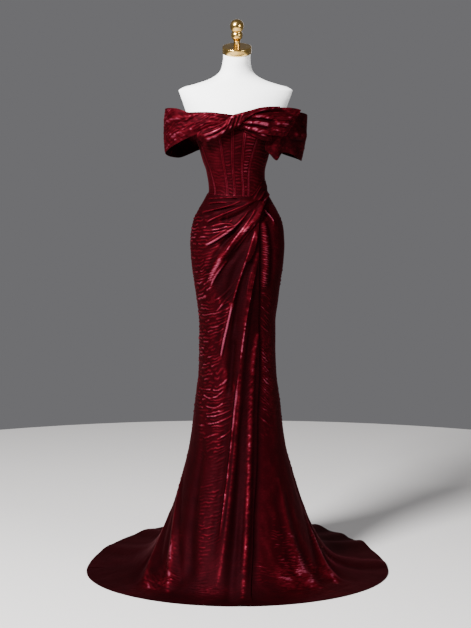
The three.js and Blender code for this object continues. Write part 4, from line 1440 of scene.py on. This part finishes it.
def bodice_panel(number, name, share, shading_share):
    v = np.linspace(0, 1, BODICE_ROWS)[:, None]
    gap = SEAM_GAP / 2 / BODICE_RADIUS / math.radians(1)
    width = math.radians(np.diff(BODICE_SEAMS["mid"])[number]) * BODICE_RADIUS
    u = columns_of_panel(width)[None, :]
    left = seam_line(number, v) + gap
    right = seam_line(number + 1, v) - gap
    deg = mix(left, right, u)
    z = mix(bodice_top(deg), waist_seam(deg) + WAIST_GAP / 2, v)
    from_seam = np.radians(np.minimum(deg - left, right - deg)) * BODICE_RADIUS
    boning = BONING_RAISE * bell(from_seam / BONING_WIDE) - SEAM_DIP * bell(from_seam / SEAM_DIP_WIDE)
    x = np.radians(deg) * BODICE_RADIUS
    wrinkles = crinkle(x, -z + 3 * np.sin(x / 23), pitch=10, length=26, cover=0.5, seed=number * 3.1)
    piping = PIPING_RAISE * bell((z - waist_seam(deg)) / BONING_WIDE)
    uneven = BODICE_CRINKLES * share * wrinkles + BODICE_SWELL * swell(x, z)
    relief = boning + piping + uneven * smooth(*INSIDE_SEAM, from_seam)
    out = bodice_out(deg, z)
    outer = torso_point(deg, z, CUP_EASE) + out * (BODICE_EASE + BODICE_CLOTH + relief)[..., None]
    inner = outer - out * CLOTH
    # Painted shading: highlights on crinkle crests, shade in creases, and a painted highlight line
    # beside each boning seam
    painted_shading = shading_share * painted_shading_of(relief, abs(z[1, 0] - z[0, 0]), BODICE_SHADING_STEP)
    painted_shading = np.maximum(painted_shading, BONING_HIGHLIGHT * bell((from_seam - BONING_AT) / BONING_HIGHLIGHT_WIDE))
    for down, clear in TUCK:
        low = torso_point(deg[-1:], z[-1:] - down, CUP_EASE)
        outer = np.vstack([outer, low + out[-1:] * clear])
        inner = np.vstack([inner, low + out[-1:] * (clear - TUCK_CLOTH)])
    painted_shading = np.vstack([painted_shading] + [0 * painted_shading[-1:]] * len(TUCK))
    uv = points_of(x, z)
    uv = np.vstack([uv] + [uv[-1:]] * len(TUCK))
    return shell(name + "_velvet", *allowance(outer, inner, uv, painted_shading), VELVET)


def allowance(outer, inner, uv, painted_shading):
    """Adds the seam allowance that one panel turns in behind the next."""
    edge = outer[:, -1:]
    behind = unit(inner[:, -1:] - edge)
    aside = unit(edge - outer[:, -2:-1])
    for over, depth in SEAM_TURN:
        turned_in = edge + aside * over
        outer = np.hstack([outer, turned_in + behind * depth])
        inner = np.hstack([inner, turned_in + behind * (depth + TUCK_CLOTH)])
    uv = np.hstack([uv] + [uv[:, -1:]] * len(SEAM_TURN))
    painted_shading = np.hstack([painted_shading] + [0 * painted_shading[:, -1:]] * len(SEAM_TURN))
    return outer, inner, uv, painted_shading


# Strips of the band and the twist

# Gain of the strips' painted shading, and the share of their relief that it follows
STRIP_SHADING_GAIN = 1.2
STRIP_FOLD_SHARE = 0.6
STRIP_SWELL = 0.6
STATION_STEP = 0.3
PLEAT_FADE = 14
CLEAR_REACH = 40.0
CLEAR_HALVINGS = 16


def strip_length(stations):
    steps = [np.diff(stations[key]) for key in ("x0", "y0", "z0")]
    return np.hypot(np.hypot(steps[0], steps[1]), steps[2]).sum()


def clear_of_body(point, out, clear):
    """Moves points outwards until they clear the bodice or the torso."""
    def outside(moved):
        half = torso["half"](moved[..., 2]) + clear
        front = torso["front"](moved[..., 2]) + clear
        back = torso["back"](moved[..., 2]) + clear
        x = moved[..., 0] - torso["midX"](moved[..., 2])
        for cup_x, cup_z, wide, tall, high in CUPS:
            cup = bell((moved[..., 0] - cup_x) / wide, (moved[..., 2] - cup_z) / tall)
            front = front + CUP_EASE * high * cup
        depth = np.where(moved[..., 1] < 0, front, back)
        return (x / half) ** 2 + (moved[..., 1] / depth) ** 2 >= 1

    low = np.zeros(point.shape[:2])
    high = np.where(outside(point), 0.0, CLEAR_REACH)
    for _ in range(CLEAR_HALVINGS):
        middle = (low + high) / 2
        clears = outside(point + out * middle[..., None])
        high = np.where(clears, middle, high)
        low = np.where(clears, low, middle)
    return point + out * high[..., None]


def pleat_height(pleats, s, v, wide, per_station):
    """Height of a strip's pleats, soft ridges that widen along it."""
    height = 0 * s
    for pleat in fold_rows(pleats):
        t = clamp01((s - pleat["s0"]) / (pleat["s1"] - pleat["s0"]))
        beyond = np.maximum(np.maximum(pleat["s0"] - s, s - pleat["s1"]), 0) * per_station
        distance = (v - mix(pleat["v0"], pleat["v1"], t)) * wide
        ends = smooth(0, 0.15, t) * smooth(0, 0.4, 1 - t)
        widths = distance / (pleat["wide"] * mix(0.9, 1.5, t))
        height += pleat["high"] * ends * bell(widths, beyond / PLEAT_FADE)
    return height


def crease_height(creases, s, v, wide, per_station):
    """Height of a strip's finer creases, slightly bent."""
    height = 0 * s
    for crease in fold_rows(creases):
        path = np.array([
            (crease["s0"], crease["v0"], 0),
            (mix(crease["s0"], crease["s1"], 0.5), mix(crease["v0"], crease["v1"], 0.42), 0.5),
            (crease["s1"], crease["v1"], 1)])
        distance, t = nearest(path, s, v, per_station, wide)
        fade = smooth(0, 0.2, t) * smooth(0, 0.2, 1 - t)
        height += crease["high"] * fade * bell(distance / crease["wide"])
    return height


def strip(name, clear, wraps, spacing, crinkles, lift):
    """Strip of cloth between two edges, bulged, pleated and crinkled outwards."""
    blocks = STRIP_TABLES[name].split("\n\n")
    stations, pleats, creases = map(table, (EDGES, PLEATS, PLEATS), blocks)
    last = len(stations["x0"]) - 1
    per_station = strip_length(stations) / last
    edges = curves(dict(stations, s=np.arange(last + 1.0)), "s")
    widest = np.hypot(stations["x1"] - stations["x0"], stations["z1"] - stations["z0"]).max()
    rows = 2 * int(widest / spacing / 2) + 1
    columns = 2 * int(per_station * last / spacing / 2) + 1
    v = np.linspace(0, 1, rows)[:, None]
    s = np.linspace(0, last, columns)[::wraps] + 0 * v

    def between(axis, at, share):
        return mix(edges[axis + "0"](at), edges[axis + "1"](at), share)

    def middle(at):
        return points_of(*[between(axis, at, 0.5) for axis in "xyz"])

    along = middle(np.minimum(s + STATION_STEP, last)) - middle(np.maximum(s - STATION_STEP, 0))
    out = unit(points_of(along[..., 1], -along[..., 0], 0 * s)) * wraps
    wide = np.hypot(edges["x1"](s) - edges["x0"](s), edges["z1"](s) - edges["z0"](s))
    x = s * per_station
    y = v * wide
    inside = smooth(0, 0.06, v) * smooth(1, 0.94, v)
    amount, lean, pitch = crinkles
    wrinkles = crinkle(x, y + lean * x, pitch=pitch, length=14, cover=0.2, seed=last * 1.7)
    relief = pleat_height(pleats, s, v, wide, per_station)
    relief += crease_height(creases, s, v, wide, per_station)
    relief += inside * (amount * wrinkles + STRIP_SWELL * swell(x, y + 77 * last))
    height = edges["bulge"](s) * np.sin(math.pi * v) + relief
    base = clear_of_body(points_of(*[between(axis, s, v) for axis in "xyz"]), out, clear)
    outer = base + out * (height + BAND_CLOTH / 2)[..., None]
    inner = base + out * (lowest_near(height) + BAND_CLOTH / 2 - CLOTH)[..., None]
    # Painted shading: highlights on pleat and crinkle crests, shade in creases, raised or lowered by
    # the strip's lift
    painted_shading = painted_shading_of(STRIP_FOLD_SHARE * relief, widest / rows, spacing)
    painted_shading = clamp01(STRIP_SHADING_GAIN * painted_shading * broken(x, y) + lift)
    return shell(name + "_velvet", outer, inner, points_of(x, y), painted_shading, VELVET)


# Dress form

def ring_mesh(name, rings, material):
    """Closed body from rings of points, first and last closed with a fan."""
    rows, sides = rings.shape[:2]
    index = np.arange(rows * sides).reshape(rows, sides)
    beside = np.roll(index, -1, axis=1)
    faces = points_of(index[:-1], beside[:-1], beside[1:], index[1:]).reshape(-1, 4).tolist()
    bottom = rows * sides
    top = bottom + 1
    faces += [(bottom, int(b), int(a)) for a, b in zip(index[0], beside[0])]
    faces += [(top, int(a), int(b)) for a, b in zip(index[-1], beside[-1])]
    points = np.concatenate([rings.reshape(-1, 3), rings[0].mean(0)[None], rings[-1].mean(0)[None]])
    mesh = bpy.data.meshes.new(name)
    mesh.from_pydata((points * METRE).tolist(), [], faces)
    mesh.shade_smooth()
    mesh.set_sharp_from_angle(angle=math.radians(FORM_SHARP_ANGLE))
    return add_object(name, mesh, material)


def make_torso():
    body = np.linspace(TORSO_LOW, SHOULDERS, TORSO_ROWS)[:-1]
    neck = np.linspace(SHOULDERS, NECK_TOP, NECK_ROWS)
    z = np.concatenate([body, neck])[:, None]
    deg = np.linspace(-180, 180, TORSO_SIDES + 1)[:-1] + 0 * z
    return ring_mesh("form_torso_cover", torso_point(deg, z + 0 * deg), COVER)


def turned(name, profile, material):
    """Body turned about the tilted axis of the neck from radius and height."""
    profile = np.array(profile, float)
    angle = np.linspace(0, 2 * math.pi, NECK_SIDES + 1)[:-1]
    radius, height = profile[:, :1], profile[:, 1:]
    ring = points_of(radius * np.cos(angle), radius * np.sin(angle), height + 0 * angle)
    cos = math.cos(math.radians(NECK_TILT))
    sin = math.sin(math.radians(NECK_TILT))
    turn = np.array([[1, 0, 0], [0, cos, -sin], [0, sin, cos]])
    return ring_mesh(name, ring @ turn.T + np.array(NECK_CENTRE), material)


def cap_profile(low):
    top = low + CAP_HEIGHT
    corner = [
        (CAP_RADIUS - CAP_ROUND + CAP_ROUND * math.sin(a), top - CAP_ROUND + CAP_ROUND * math.cos(a))
        for a in np.linspace(math.pi / 2, 0, 7)]
    start = [(CAP_RADIUS - CAP_BEVEL, low), (CAP_RADIUS, low + CAP_BEVEL)]
    return start + corner + [(CAP_RADIUS - CAP_SLOPE, top)]


def finial_profile(low):
    radius = curve(FINIAL["h"], FINIAL["r"])
    heights = np.linspace(0, FINIAL_TOP, 64)
    return [(max(float(radius(h)), FINIAL_TIP), low + h) for h in heights]


# Building the pieces

# Strips: clearance, side they face, spacing, height, lean and pitch of crinkles, lift of the painted
# shading, lighter where light falls on the strip and darker in its shade
STRIPS = [
    ("band_left", BAND_CLEAR, -1, BAND_SPACING, (1.8, -0.5, 9.5), 0.16),
    ("band_right", BAND_CLEAR, 1, BAND_SPACING, (0.6, 0.2, 10.5), -0.02),
    ("twist_over", BAND_CLEAR, 1, TWIST_SPACING, (0.8, 0.6, 7.0), 0.14),
    ("twist_fan", BAND_CLEAR, 1, TWIST_SPACING, (1.4, 0.1, 8.0), 0.12),
    ("twist_under", LOBE_CLEAR, 1, TWIST_SPACING, (0.6, 0.1, 8.0), 0.08),
]


def place(piece, slot, *replaced):
    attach(piece, "root")
    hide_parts(*replaced)


place(make_wrap(), "velvet", "skirt_front_wrap")
place(make_under(), "velvet", "skirt_front_under")
place(make_back("skirt_back_right_velvet", 0, 90), "velvet", "skirt_back_right")
place(make_back("skirt_back_left_velvet", 90, 180), "velvet", "skirt_back_left")
for number, (name, share, shading_share) in enumerate(BODICE_PANELS):
    place(bodice_panel(number, name, share, shading_share), "velvet", name)
for name, *values in STRIPS:
    place(strip(name, *values), "velvet", name)
place(make_torso(), "form_cover", "form_torso")
place(turned("form_neck_cap_gold", cap_profile(SEAM_GAP), GOLD), "gold_metal", "form_neck_cap")
finial_low = CAP_HEIGHT + 2 * SEAM_GAP
place(turned("form_finial_gold", finial_profile(finial_low), GOLD), "gold_metal", "form_finial")

for name in ("form_pole", "form_base"):
    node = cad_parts[name]
    for slot in node.material_slots:
        slot.material = GOLD

# Sheets of cloth: flat width, length and area in metres, how each is held and what it rests on
SHEETS = """
skirt_front_wrap 0.86 1.52 0.62 gathered form_torso
skirt_front_under 0.5 1.5 0.36 hung form_torso
skirt_back_right 0.98 1.62 0.54 hung form_torso
skirt_back_left 0.98 1.62 0.54 hung form_torso
bodice_side_left 0.068 0.235 0.0118 stretched form_torso
bodice_cup_left 0.115 0.245 0.0188 stretched form_torso
bodice_centre_left 0.052 0.24 0.0095 stretched form_torso
bodice_centre_right 0.05 0.235 0.0094 stretched form_torso
bodice_cup_right 0.058 0.225 0.0097 stretched form_torso
bodice_side_right 0.125 0.21 0.0228 stretched form_torso
bodice_back_side_right 0.1 0.19 0.0134 stretched form_torso
bodice_back_right 0.1 0.2 0.0149 stretched form_torso
bodice_back_left 0.1 0.21 0.016 stretched form_torso
bodice_back_side_left 0.1 0.22 0.016 stretched form_torso
band_left 0.15 0.58 0.0555 draped form_torso
band_right 0.155 0.49 0.0545 draped form_torso
twist_over 0.05 0.3 0.0104 folded twist_fan
twist_fan 0.1 0.22 0.0165 folded band_right
twist_under 0.035 0.11 0.0032 folded bodice_cup_right
"""
for name, width, length, area, held, below in lines_of(SHEETS):
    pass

# Floor, light and camera, in metres

FLOOR_RADIUS = 2.9
FLOOR_LEVEL = -0.0006
# Lights: where they stand, where they aim, size and power in watts
LIGHTS = [
    ("key", (-1.9, -2.5, 3.3), (0, 0, 0.9), 1.0, 740),
    ("fill", (2.6, -2.6, 1.7), (0, 0, 0.8), 1.6, 75),
    ("back", (0.3, 3.2, 2.4), (0, 0, 0.9), 1.4, 10),
]


def make_floor():
    material, tree = nodes_of("studio_floor")
    look = {"Base Color": (0.62, 0.6, 0.59, 1), "Roughness": 0.6}
    feed(tree, tree.nodes["Principled BSDF"], look)
    bpy.ops.mesh.primitive_circle_add(
        vertices=96, radius=FLOOR_RADIUS, fill_type="NGON", location=(0, 0, FLOOR_LEVEL))
    floor = bpy.context.object
    floor.name = "studio_floor"
    floor.data.materials.append(material)


def area_light(name, place_at, aim, size, power):
    data = bpy.data.lights.new(name, "AREA")
    data.shape = "DISK"
    data.size = size
    data.energy = power
    light = bpy.data.objects.new(name, data)
    bpy.context.scene.collection.objects.link(light)
    light.location = place_at
    direction = np.array(aim) - np.array(place_at)
    flat = math.hypot(direction[0], direction[1])
    light.rotation_euler = (math.atan2(flat, -direction[2]), 0, math.atan2(-direction[0], direction[1]))


def make_world():
    world = bpy.data.worlds.new("studio")
    bpy.context.scene.world = world
    world.use_nodes = True
    background = world.node_tree.nodes["Background"]
    background.inputs["Color"].default_value = (0.16, 0.159, 0.166, 1)
    background.inputs["Strength"].default_value = 1.0


make_floor()
make_world()
for light in LIGHTS:
    area_light(*light)

camera_data = bpy.data.cameras.new("camera")
camera_data.lens = 75
camera_data.sensor_fit = "VERTICAL"
camera_data.sensor_height = 36
camera = bpy.data.objects.new("camera", camera_data)
camera.location = (-0.0065, -4.3, 1.25)
camera.rotation_euler = (math.radians(84.8), 0, 0)
bpy.context.scene.collection.objects.link(camera)
bpy.context.scene.camera = camera
